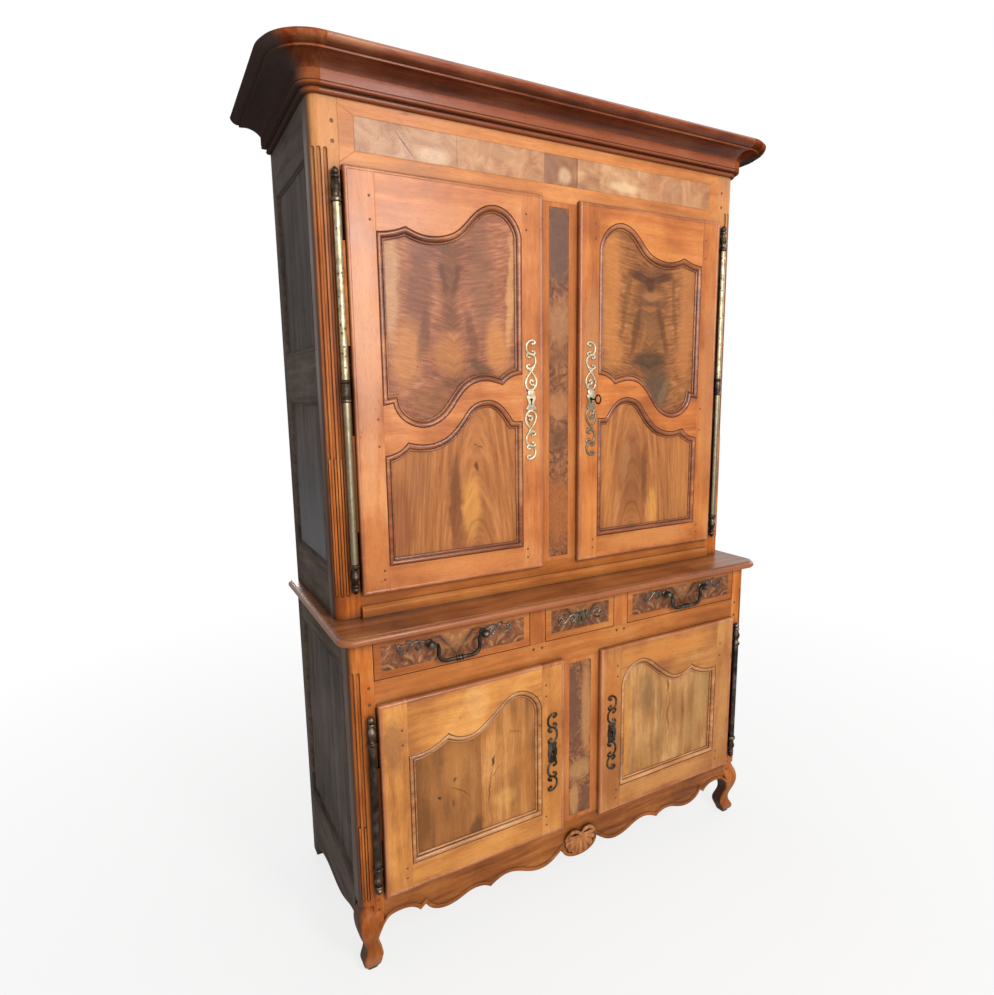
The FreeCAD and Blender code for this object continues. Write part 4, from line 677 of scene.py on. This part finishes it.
def beside_middle(tree, away, middle):
    """How far a place is from a middle line, to either side."""
    beside = add(tree, "Math", {0: away, 1: middle}, operation="SUBTRACT")
    return add(tree, "Math", {0: beside}, operation="ABSOLUTE")


def above_middle_rail(tree, at, away):
    """Share that is one on the upper panel of a tall door and nought on the lower one."""
    lean = add(tree, "Math", {0: away, 1: 0.5, 2: at["Z"]}, operation="MULTIPLY_ADD")
    return add(tree, "Math", {0: lean, 1: 1.705}, operation="GREATER_THAN")


def crotch_grain(tree, place):
    """Rippled feather grain either side of the upper panel's middle, plain arched grain below it."""
    arch_middle = 0.29
    at = add(tree, "SeparateXYZ", {"Vector": place}).outputs
    away = add(tree, "Math", {0: at["X"]}, operation="ABSOLUTE")
    beside = beside_middle(tree, away, panel_middle)
    lift = add(tree, "Math", {0: beside, 1: 0.5}, operation="POWER")
    across = add(tree, "Math", {0: lift, 1: -0.11, 2: at["Z"]}, operation="MULTIPLY_ADD")
    feather = add(tree, "CombineXYZ", {"X": across, "Y": at["Y"], "Z": beside})
    aside = add(tree, "Math", {0: away, 1: arch_middle}, operation="SUBTRACT")
    arch = add(tree, "Math", {0: aside, 1: aside}, operation="MULTIPLY")
    arch = add(tree, "Math", {0: arch, 1: 3.5}, operation="MULTIPLY")
    arch = add(tree, "Math", {0: at["Z"], 1: 0.09, 2: arch}, operation="MULTIPLY_ADD")
    height = add(tree, "Math", {0: at["Z"], 1: 0.25}, operation="MULTIPLY")
    arched = add(tree, "CombineXYZ", {"X": arch, "Y": at["Y"], "Z": height})
    above = above_middle_rail(tree, at, away)
    return add(tree, "Mix", {"Factor": above, "A": arched, "B": feather}, data_type="VECTOR")


def panel_tint(door):
    """Figure of one door's panels."""
    def tint(tree, place, tone, colour):
        at = add(tree, "SeparateXYZ", {"Vector": place}).outputs
        away = add(tree, "Math", {0: at["X"]}, operation="ABSOLUTE")
        if in_upper_body(door):
            plain = add(tree, "ValToRGB", {"Fac": tone}, [
                (0.36, linear("#94592f")), (0.64, linear("#c08350")), (0.5, linear("#ad6d3e"))])
            above = above_middle_rail(tree, at, away)
            colour = add(tree, "Mix", {"Factor": above, "A": plain, "B": colour}, data_type="RGBA")
            beside = beside_middle(tree, away, panel_middle)
            figure = add(tree, "CombineXYZ", {"X": beside, "Y": at["Y"], "Z": at["Z"]})
        else:
            outer = add(tree, "Math", {0: away, 1: board_joint}, operation="GREATER_THAN")
            colour = stained(tree, colour, (outer, 0, 1, outer_board_shades[door], "#855229"))
            figure = None
        colour = blots(tree, place, colour, panel_spots[door], figure=figure)
        ripple = add(tree, "MapRange", {"Value": tone, "From Min": 0.36, "From Max": 0.64, "To Min": 0.86,
                                        "To Max": 1.12})
        return add(tree, "VectorMath", {0: colour, "Scale": ripple}, operation="SCALE")
    return tint


crotch_figure = dict(reshape=crotch_grain, band_mm=7, stretch=7, waver_mm=30, drift=0.35, contrast=0.7)
for door, tones in panel_tones.items():
    # Figured walnut: smoky brown and gold patches under a fine cross ripple, less polished than its frame.
    figure = crotch_figure if in_upper_body(door) else {}
    dress(wood("figured walnut, panels of " + door, *tones, rough=0.4, specular=0.2, wear_and_highlight=0.0, grime_and_shade=1.0,
               tint=panel_tint(door), **figure), door + "_panels")


# Mouldings round the panels and beads round the doors. The mouldings are worked in lengths and mitred at
# every corner of a shaped opening; a small round bead stands along the edges of each door.
def outlines(node):
    """Outlines of a node's front flats as anticlockwise loops of (x, z), seen from the front."""
    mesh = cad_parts[node].data
    exact, runs = {}, {}
    for flat in mesh.polygons:
        if flat.normal.y < -0.999:
            keys = []
            for i in flat.vertices:
                x, y, z = mesh.vertices[i].co
                keys.append((round(x, 4), round(z, 4)))
                exact[keys[-1]] = Vector((x, z))
            runs.update({(a, b): None for a, b in zip(keys, keys[1:] + keys[:1])})
    follow = {a: b for a, b in runs if (b, a) not in runs}
    loops = []
    while follow:
        start, here = follow.popitem()
        loops.append([exact[start]])
        while here != start:
            loops[-1].append(exact[here])
            here = follow.pop(here)
    return loops


panel_setback = 13
panel_profile = ((0.9, -4), (0.9, -2.4), (2.2, -2.0), (2.6, 0.0), (4.0, 1.0), (6.5, 1.5), (9.0, 1.1),
                 (11.5, -0.6), (13.4, -2.8), (14.0, -4.6), (14.2, -7.6), (15.8, -7.6), (16.2, -5.4),
                 (17.6, -4.5), (19.4, -4.8), (20.6, -6.2), (21.2, -8.2), (21.2, -9.6), (12.0, -9.6))
edge_profile = ((-0.3, -10), (-0.3, -4.0), (0.8, -0.9), (3.0, 0.9), (5.5, 1.5), (8.0, 1.2), (10.0, 0.3),
                (11.0, -1.0), (11.0, -4.0), (6.0, -10))
upper_moulding_tones = ("#5e2c15", "#93502a", "#bd7a4a")
lower_moulding_tones = ("#7c4a24", "#b5743c", "#dca673")
for door in door_tones:
    low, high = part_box(door + "_frame")
    # Polished walnut: darker than the frame, dark in its quirks with dirt and painted shade, and with bright
    # lines along its rounds that are partly wear and partly a painted highlight.
    tones = upper_moulding_tones if in_upper_body(door) else lower_moulding_tones
    moulding_walnut = wood("polished walnut, mouldings of " + door, *tones, reshape=door_grain(door),
                           rough=0.28, specular=0.6, grime_and_shade=0.9, wear_and_highlight=0.7)
    shells = []
    for loop in outlines(door + "_panels"):
        shells += moulding(loop, low.y, [(a - panel_setback, b) for a, b in panel_profile])
    piece(door + "_mouldings", door, "walnut_frame", moulding_walnut, shells)
    # Polished walnut of the edge: a thin pinkish line, pale along its rounds with wear and a painted
    # highlight.
    bead_walnut = wood("polished walnut, edge bead of " + door, "#8f4c28", "#b06a3e", "#cb8a5e",
                       reshape=door_grain(door), rough=0.3, specular=0.5, wear_and_highlight=0.5)
    corners = ((low.x, low.z), (high.x, low.z), (high.x, high.z), (low.x, high.z))
    edge = moulding([Vector(corner) for corner in corners], low.y, edge_profile)
    piece(door + "_edge_bead", door, "walnut_frame", bead_walnut, edge)

# Pegs of the doors, of the carcass pegs' heartwood, two through each joint of stile and rail. They stand
# a hair proud, since the frames have shrunk about them.
upper_pegs = ((0.584, (2.087, 2.030, 1.529, 1.457, 1.116, 1.091)),
              (0.1235, (2.094, 2.051, 1.640, 1.600, 1.118, 1.092)))
lower_pegs = ((0.596, (0.706, 0.663, 0.294, 0.264)), (0.137, (0.7246, 0.689, 0.290, 0.262)))
peg_root = 0.003
peg_step = 0.0012
peg_radii = (0.0045, 0.0045, 0.0044, 0.0026)


def hand_of(door):
    """Minus one for a left door and one for a right door."""
    return -1 if "left" in door else 1


for door in door_tones:
    low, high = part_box(door + "_frame")
    shells = []
    for x, levels in upper_pegs if in_upper_body(door) else lower_pegs:
        for z in levels:
            peg = [Vector((hand_of(door) * x, low.y + peg_root - peg_step * i, z)) for i in range(4)]
            shells.append(rope(peg, peg_radii))
    piece(door + "_pegs", door, "dark_walnut", peg_wood, shells)


# Drawers. Walnut fronts on softwood boxes that slide along runners; a burr veneer is let into each
# front, matched about the middle and jointed there in a chevron.
def chevron(middle, shade):
    """Dark burr matched about the middle of a drawer, with a paler V there."""
    def tint(tree, place, tone, colour):
        point_level = 0.884
        at = add(tree, "SeparateXYZ", {"Vector": place}).outputs
        beside = beside_middle(tree, at["X"], middle)
        rise = add(tree, "Math", {0: at["Z"], 1: point_level}, operation="SUBTRACT")
        over = add(tree, "Math", {0: beside, 1: -1.25, 2: rise}, operation="MULTIPLY_ADD")
        rim = add(tree, "Math", {0: over}, operation="ABSOLUTE")
        matched = add(tree, "CombineXYZ", {"X": beside, "Y": at["Y"], "Z": at["Z"]})
        figure = add(tree, "ValToRGB", {"Fac": burr(tree, matched, eye_mm=48)}, [
            (0.08, linear("#2c160c")), (0.92, linear("#bd8a55")),
            (0.4, linear("#6b3c22")), (0.62, linear("#8f5a35"))])
        colour = add(tree, "Mix", {"Factor": 0.85, "A": colour, "B": figure}, data_type="RGBA")
        colour = stained(tree, colour, (rim, 0.022, 0.004, 0.7, "#3c2012"),
                         (over, -0.002, 0.002, 0.35, "#b07845"))
        return add(tree, "VectorMath", {0: colour, "Scale": shade}, operation="SCALE")
    return tint


side_drawer = 0.4225
# Waxed walnut: red brown, black round the edges of each drawer with dirt and painted shade.
drawer_walnut = wood("waxed walnut, drawer fronts", "#874315", "#a65c23", "#bd7838", turn=along_x, grime_and_shade=1.0)
drawers = (("left_drawer", -side_drawer, 1.0), ("middle_drawer", 0.0, 0.75),
           ("right_drawer", side_drawer, 0.8))
for drawer, middle, shade in drawers:
    dress(drawer_walnut, drawer + "_front")
    # Burr walnut veneer: dark, tightly swirled brown with gold flecks about a paler V.
    dress(wood("burr walnut veneer, " + drawer, "#54301d", "#8f5735", "#b87d4f", turn=along_x, stretch=2,
               waver_mm=60, wear_and_highlight=0.0, grime_and_shade=0.5, tint=chevron(middle, shade)), drawer + "_veneer")
    dress(softwood, drawer + "_box")


# Hinges. Iron pins with turned finials carry long tubes that are let into the door's edge; the tubes of
# the upper doors are brass, worn and spotted, the lower ones iron. The key and its bolt are iron too.
def metal(name, dark, mid, bright, rough=0.4, spot_mm=9, metallic=1.0, pits=0.0, tint=None):
    """Old hand-worked metal: rubbed bright in clouds, dark in its hollows with dirt and painted shade, and
    pitted.
    """
    pit_mm = 14
    dirt_and_shade_mm = 12
    material = bpy.data.materials.new(name)
    material.use_nodes = True
    tree = material.node_tree
    place = add(tree, "TexCoord").outputs["Object"]
    spots = add(tree, "TexNoise", {"Vector": place, "Scale": 1000 / spot_mm, "Detail": 4.0,
                                   "Roughness": 0.65})
    tones = [(0.32, linear(dark)), (0.68, linear(bright)), (0.5, linear(mid))]
    colour = add(tree, "ValToRGB", {"Fac": spots}, tones)
    holes = add(tree, "TexVoronoi", {"Vector": place, "Scale": 1000 / pit_mm}).outputs["Distance"]
    colour = stained(tree, colour, (holes, 0.28, 0.15, pits, "#2a2118"))
    if tint:
        colour = tint(tree, place, spots, colour)
    dirt_and_shade = add(tree, "AmbientOcclusion", {"Distance": dirt_and_shade_mm / 1000}, samples=5).outputs["AO"]
    # Darkening in the hollows and where parts meet, partly dirt and partly painted shade.
    colour = stained(tree, colour, (dirt_and_shade, 0.8, 0.25, 0.85, "#140e0a"))
    polish = add(tree, "MapRange", {"Value": spots, "From Min": 0.36, "From Max": 0.64,
                                    "To Min": rough + 0.15, "To Max": rough})
    bump = add(tree, "Bump", {"Strength": 0.2, "Distance": 0.0006, "Height": spots})
    tree.nodes["Principled BSDF"].inputs["Metallic"].default_value = metallic
    coat(tree, colour, polish, bump)
    return material


def let_in_tail(reach, dulled):
    """The tube's flat tail, nearer the middle than its reach, is painted brown as the shaded edge of the
    door beside the tube; a brass tube is dulled in its lower length."""
    def tint(tree, place, tone, colour):
        at = add(tree, "SeparateXYZ", {"Vector": place}).outputs
        away = add(tree, "Math", {0: at["X"]}, operation="ABSOLUTE")
        tail = add(tree, "Math", {0: away, 1: reach}, operation="LESS_THAN")
        # Painted shade: the tail takes the brown of the door's shaded edge.
        return stained(tree, colour, (at["Z"], 1.7, 1.5, dulled, "#7b705a"), (tail, 0, 1, 1.0, "#6d3f20"))
    return tint


# Worn brass: pale straw with dull clouds and small black pits.
tube_brass = metal("worn brass, hinge tubes", "#85775a", "#ab9d7e", "#cbbfa0", rough=0.36, spot_mm=30,
                   pits=0.85, tint=let_in_tail(reach=0.6572, dulled=0.7))
# Wrought iron: brown black with a low, broken shine; the tubes are drawn a little smoother.
iron_tones = ("#25201c", "#3d3630", "#6a6058")
iron = metal("dark wrought iron", *iron_tones, rough=0.38, spot_mm=36)
tube_iron = metal("dark iron, hinge tubes", *iron_tones, rough=0.36, spot_mm=40,
                  tint=let_in_tail(reach=0.6692, dulled=0.0))
# Turned iron, browned by oil: hollows darkened with dirt and painted shade, and brighter rings on the
# finials.
turned_iron = metal("turned and browned iron", "#2c241e", "#4b4036", "#8b7c6a", rough=0.34, spot_mm=30)
for door in door_tones:
    dress(tube_brass if in_upper_body(door) else tube_iron, door + "_hinge_tubes")
dress(turned_iron, "hinge_pins")
dress(iron, "key", "lock_bolt")


# Escutcheons and lock cases. Each escutcheon is sawn from plate in a chain of scrolls with bead ends
# about a waisted keyhole plate, and pinned over the lock, whose case of the same metal is screwed
# behind the stile. The upper ones are brass, the lower ones iron.
def seat_on(x, z, face, hand):
    """Places millimetres across, up and out on a flat face about a middle, mirrored for the other hand."""
    def seat(a, b, c):
        return Vector((x + hand * a / 1000, face - c / 1000, z + b / 1000))
    return seat


def strip(points, seat, half, thick):
    """Flat bar with a rounded face along a line of points in the plane of a seat, narrower at both ends."""
    section = ((-1, 0), (-1, 0.55), (-0.6, 0.88), (0, 1), (0.6, 0.88), (1, 0.55), (1, 0))
    line = smooth(points)
    rows = []
    for i, here in enumerate(line):
        along = (line[min(i + 1, len(line) - 1)] - line[max(i - 1, 0)]).normalized()
        across = Vector((-along.y, along.x))
        width = half * min(1.0, 0.62 + 0.11 * min(i, len(line) - 1 - i))
        rows.append([seat(*(here + a * width * across), b * thick) for a, b in section])
    return skin(rows)


def bead(centre, seat, radius, thick):
    """Round bead end of a scroll."""
    turns = [math.radians(30 * i) for i in range(12)]
    rows = []
    for rise, size in ((0, 1), (0.5, 1), (0.8, 0.82), (1.0, 0.5), (1.08, 0.12)):
        rows.append([seat(centre[0] + radius * size * math.cos(a), centre[1] + radius * size * math.sin(a),
                          rise * thick) for a in turns])
    return skin(rows)


def scroll(x, z, wide, tall, opens):
    """Line of a C scroll with curled ends."""
    half = ((0.16, 0.24), (0.36, 0.27), (0.42, 0.40), (0.22, 0.49), (-0.14, 0.44), (-0.42, 0.24),
            (-0.48, 0.0))
    shares = half + tuple((a, -b) for a, b in reversed(half[:-1]))
    return [(x + opens * a * wide, z + b * tall) for a, b in shares]


def plate(outline, seat, thick):
    """Keyhole plate with a pierced keyhole, from half of its outline."""
    loop = smooth(outline, steps=5)
    loop = loop + [Vector((-p.x, p.y)) for p in reversed(loop)][1:-1]
    rows = []
    for point in loop:
        angle = math.atan2(point.x, point.y)
        hole = 5.0 if abs(angle) < 2.3 else min(16.0, 2.3 / max(0.14, abs(math.sin(angle))))
        inner = (hole * math.sin(angle), hole * math.cos(angle) + 2)
        rows.append([seat(point.x, point.y, 0), seat(point.x, point.y, 0.7 * thick),
                     seat(0.93 * point.x, 0.96 * point.y, thick), seat(*inner, thick), seat(*inner, 0)])
    return skin(rows, True)


def tarnish(tree, place, tone, colour):
    """The right escutcheon has gone brown below its keyhole."""
    at = add(tree, "SeparateXYZ", {"Vector": place}).outputs
    right_hand = add(tree, "Math", {0: at["X"], 1: 0.0}, operation="GREATER_THAN")
    low = add(tree, "MapRange", {"Value": at["Z"], "From Min": 1.50, "From Max": 1.60, "To Min": 0.8,
                                 "To Max": 0.15})
    low = add(tree, "Math", {0: low, 1: right_hand}, operation="MULTIPLY")
    return add(tree, "Mix", {"Factor": low, "A": colour, "B": linear("#4f4435")}, data_type="RGBA")


# Worn brass of the escutcheons: pale and bright against the wood, dark where the scrolls meet it with dirt
# and painted shade.
brass = metal("worn brass, escutcheons", "#968768", "#bdb093", "#dbd0b6", rough=0.42, spot_mm=14,
              metallic=0.75, tint=tarnish)
upper_scrolls = (scroll(0, 154, 32, 42, 1), scroll(0, 115, 34, 44, -1),
                 [(-11, 94), (-5, 90), (4, 82), (15, 68), (19, 53), (13, 37), (0, 30), (-13, 36), (-18, 50),
                  (-13, 66), (-3, 80), (5, 90), (9, 97)],
                 [(13, 37), (9, 46), (1, 46), (-4, 53), (1, 60), (6, 56)])
lower_scrolls = (scroll(0, 104, 34, 47, 1), scroll(0, 57, 34, 52, -1))
upper_plate = ((0, 29), (7, 30), (13, 25), (11, 17), (16, 12), (14, 2), (10, -8), (13, -16), (18, -24),
               (12, -28), (0, -29))
lower_plate = ((0, 34), (9, 33), (15, 27), (13, 18), (16, 9), (16, -9), (13, -18), (15, -27), (9, -33),
               (0, -34))
case_outline = ((-0.031, -0.045), (0.024, -0.045), (0.024, 0.045), (-0.031, 0.045))
case_rises = ((0.0, 1.0), (0.0145, 1.0), (0.016, 0.97))
for door in door_tones:
    if in_upper_body(door):
        middle, level, scrolls, outline = 0.110, 1.570, upper_scrolls, upper_plate
        slot, finish = "worn_brass", brass
    else:
        middle, level, scrolls, outline = 0.115, 0.501, lower_scrolls, lower_plate
        slot, finish = "dark_iron", iron
    side = hand_of(door)
    low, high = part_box(door + "_frame")
    seat = seat_on(side * middle, level, low.y, -side)
    shells = []
    for line in scrolls:
        for flip in (1, -1):
            turned = [(flip * a, flip * b) for a, b in line]
            shells.append(strip(turned, seat, half=3.1, thick=3.0))
            shells += [bead(end, seat, radius=4.6, thick=3.4) for end in (turned[0], turned[-1])]
    shells.append(plate(outline, seat, thick=3.0))
    case = []
    for rise, size in case_rises:
        corners = [(middle + a * size, level + b * size) for a, b in case_outline]
        case.append([(side * x, high.y + rise, z) for x, z in corners])
    shells.append(skin(case))
    piece(door + "_escutcheon", door, slot, finish, shells, door + "_lock")

# Drop handles and plates of the drawers. Each scroll plate is cast with a round boss; the iron bail hangs
# between two bosses and is ringed at its middle. The middle drawer has a plate alone.
handle_scrolls = ([(2, 0), (18, 6), (32, 10), (45, 8), (56, -2), (66, -12), (79, -13), (89, -6), (91, 3),
                   (86, 8), (81, 5)],
                  [(42, 9), (30, 4), (24, -6), (29, -13), (36, -11), (37, -6)],
                  [(50, 4), (54, 11), (61, 15)])
middle_scrolls = ([(4, 2), (18, 9), (33, 10), (46, 3), (55, -8), (68, -12), (79, -5), (80, 5), (73, 9),
                   (69, 5)],
                  [(44, 5), (50, 12), (58, 14)], [(26, 10), (20, 2), (24, -8), (33, -10), (36, -4)],
                  [(2, -4), (10, -12), (20, -13)], [(8, 6), (10, 13), (16, 16)])
middle_plate = ((0, 16), (6, 15), (10, 9), (8, 0), (10, -9), (6, -15), (0, -16))
half_bail = [(0, -52), (12, -52), (26, -52), (40, -52), (52, -48.5), (60, -39), (62.5, -26), (62.5, -12),
             (62.5, -4), (64, -0.6), (68, 0), (75, 0)]
# Each turn of the boss: its share of the boss's height, and its radius.
boss_turns = ((-0.03, 11.5), (0.06, 11.5), (0.12, 10.5), (0.18, 8), (0.3, 8.5), (0.42, 10.5), (0.58, 11.6),
              (0.74, 10.6), (0.87, 8), (0.95, 5), (0.99, 1.6))
boss_height = 34
rod_radius = 5.5
rod_end_radius = 3.0
rod_taper = 14
ring_rise = 2.6
ring_pitch = 8.2
ringed_half = 13
boss_apart = 0.082
drawer_face = -0.280
bail_plane = -0.300
handle_level = 0.929
plate_level = 0.911
# Cast iron with a grey patina: dull pewter on the high parts, black behind the scrolls with dirt and painted
# shade.
patina = metal("patinated iron", "#2f2b26", "#5b564d", "#8d877a", rough=0.4, spot_mm=16)
for side, name in ((-1, "left"), (1, "right")):
    shells = []
    for hand in (-1, 1):
        seat = seat_on(side * side_drawer + hand * boss_apart, handle_level, drawer_face, hand)
        for line in handle_scrolls:
            shells.append(strip(line, seat, half=2.6, thick=3.0))
            shells.append(bead(line[-1], seat, radius=4.0, thick=3.6))
        run = [seat(0, 0, boss_height * share) for share, radius in boss_turns]
        shells.append(rope(run, [radius / 1000 for share, radius in boss_turns], sides=20))
    piece(name + "_scroll_plates", name + "_drawer", "dark_iron", patina, shells, name + "_handle_plates")
    line = smooth([(-a, b) for a, b in reversed(half_bail[1:])] + half_bail, steps=6)
    radii = []
    for p in line:
        drop = min(1.0, max(0.0, -p.y) / rod_taper)
        rod = rod_end_radius + (rod_radius - rod_end_radius) * drop
        ringed = abs(p.x) < ringed_half and math.cos(p.x * 2 * math.pi / ring_pitch) > -0.2
        radii.append((rod + ring_rise if ringed else rod) / 1000)
    bail = [Vector((side * side_drawer + p.x / 1000, bail_plane, handle_level + p.y / 1000)) for p in line]
    piece(name + "_drop_handle", name + "_bail", "dark_iron", iron, [rope(bail, radii, sides=14)],
          name + "_bail")

shells = []
for hand in (-1, 1):
    seat = seat_on(0, plate_level, drawer_face, hand)
    for line in middle_scrolls:
        shells.append(strip(line, seat, half=2.5, thick=3.0))
        shells.append(bead(line[-1], seat, radius=3.8, thick=3.6))
shells.append(plate(middle_plate, seat, thick=3.2))
piece("middle_scroll_plate", "middle_drawer", "dark_iron", patina, shells, "middle_drawer_plate")

# Floor. A sheet of white paper that keeps the shadow under the cupboard and fades to plain white further
# out. It isn't part of the cupboard.
floor = bpy.data.meshes.new("floor")
floor.from_pydata([(-30, -30, 0), (30, -30, 0), (30, 30, 0), (-30, 30, 0)], [], [(0, 1, 2, 3)])
ground = bpy.data.objects.new("floor", floor)
bpy.context.collection.objects.link(ground)
# White paper: matt and shadowless at a distance, softly shaded close to the feet.
paper = bpy.data.materials.new("white paper floor")
paper.use_nodes = True
tree = paper.node_tree
shader = tree.nodes["Principled BSDF"]
shader.inputs["Base Color"].default_value = linear("#dcdad6")
shader.inputs["Roughness"].default_value = 0.9
spot = add(tree, "TexCoord").outputs["Object"]
away = add(tree, "VectorMath", {0: spot}, operation="LENGTH").outputs["Value"]
fade = add(tree, "MapRange", {"Value": away, "From Min": 0.9, "From Max": 3.2, "To Min": 0.78})
path = add(tree, "LightPath")
fade = add(tree, "Math", {0: fade, 1: path.outputs["Is Camera Ray"]}, operation="MULTIPLY")
glow = add(tree, "Emission", {"Color": linear("#ffffff"), "Strength": 1.0})
mixed = add(tree, "MixShader", {0: fade, 1: shader.outputs["BSDF"], 2: glow})
tree.links.new(mixed.outputs[0], tree.nodes["Material Output"].inputs["Surface"])
floor.materials.append(paper)


# Light and camera. Soft daylight from a window and an open door in front, a pale wall to the right and
# some light from behind; seen from the front left, at the height of a standing eye.
def lamp(name, place, aim, size, watts):
    """Soft rectangular lamp turned towards a point."""
    data = bpy.data.lights.new(name, "AREA")
    data.shape = "RECTANGLE"
    data.size, data.size_y = size
    data.energy = watts
    holder = bpy.data.objects.new(name, data)
    holder.location = place
    holder.rotation_euler = (Vector(aim) - Vector(place)).to_track_quat("-Z", "Y").to_euler()
    bpy.context.collection.objects.link(holder)


lamp("window", (0.45, -3.5, 2.7), (0.0, 0.0, 1.3), (0.75, 2.0), 79)
lamp("open door", (-1.0, -3.2, 2.0), (-0.1, 0.0, 1.0), (1.6, 2.0), 48)
lamp("pale wall", (3.6, 0.2, 1.9), (0.7, 0.0, 1.2), (2.0, 2.0), 24)
lamp("light from behind", (0.0, 3.4, 2.2), (0.0, 0.0, 1.2), (1.2, 2.0), 45)
world = bpy.data.worlds.new("white room")
world.use_nodes = True
bpy.context.scene.world = world
sky = world.node_tree
sky.nodes.clear()
path = add(sky, "LightPath").outputs
seen = add(sky, "Math", {0: path["Is Camera Ray"], 1: path["Is Glossy Ray"]}, operation="MAXIMUM")
seen = add(sky, "Math", {0: seen, 1: path["Is Transmission Ray"]}, operation="MAXIMUM")
dim = add(sky, "Background", {"Color": linear("#eef1f4"), "Strength": 0.42})
white = add(sky, "Background", {"Color": linear("#ffffff"), "Strength": 1.0})
mixed = add(sky, "MixShader", {0: seen, 1: dim, 2: white})
add(sky, "OutputWorld", {"Surface": mixed})

camera = bpy.data.cameras.new("camera")
camera.sensor_width = 36.0
camera.lens = 23.391
eye = bpy.data.objects.new("camera", camera)
right = Vector((0.87647466, -0.48126184, -0.01338651))
up = Vector((0.0890969, 0.13481353, 0.98685716))
back = Vector((-0.47313202, -0.86614799, 0.16103958))
stand = Matrix.Translation((-1.13591, -1.83152, 1.5965))
eye.matrix_world = stand @ Matrix((right, up, back)).transposed().to_4x4()
bpy.context.collection.objects.link(eye)
bpy.context.scene.camera = eye
bpy.context.scene.view_settings.view_transform = "Standard"
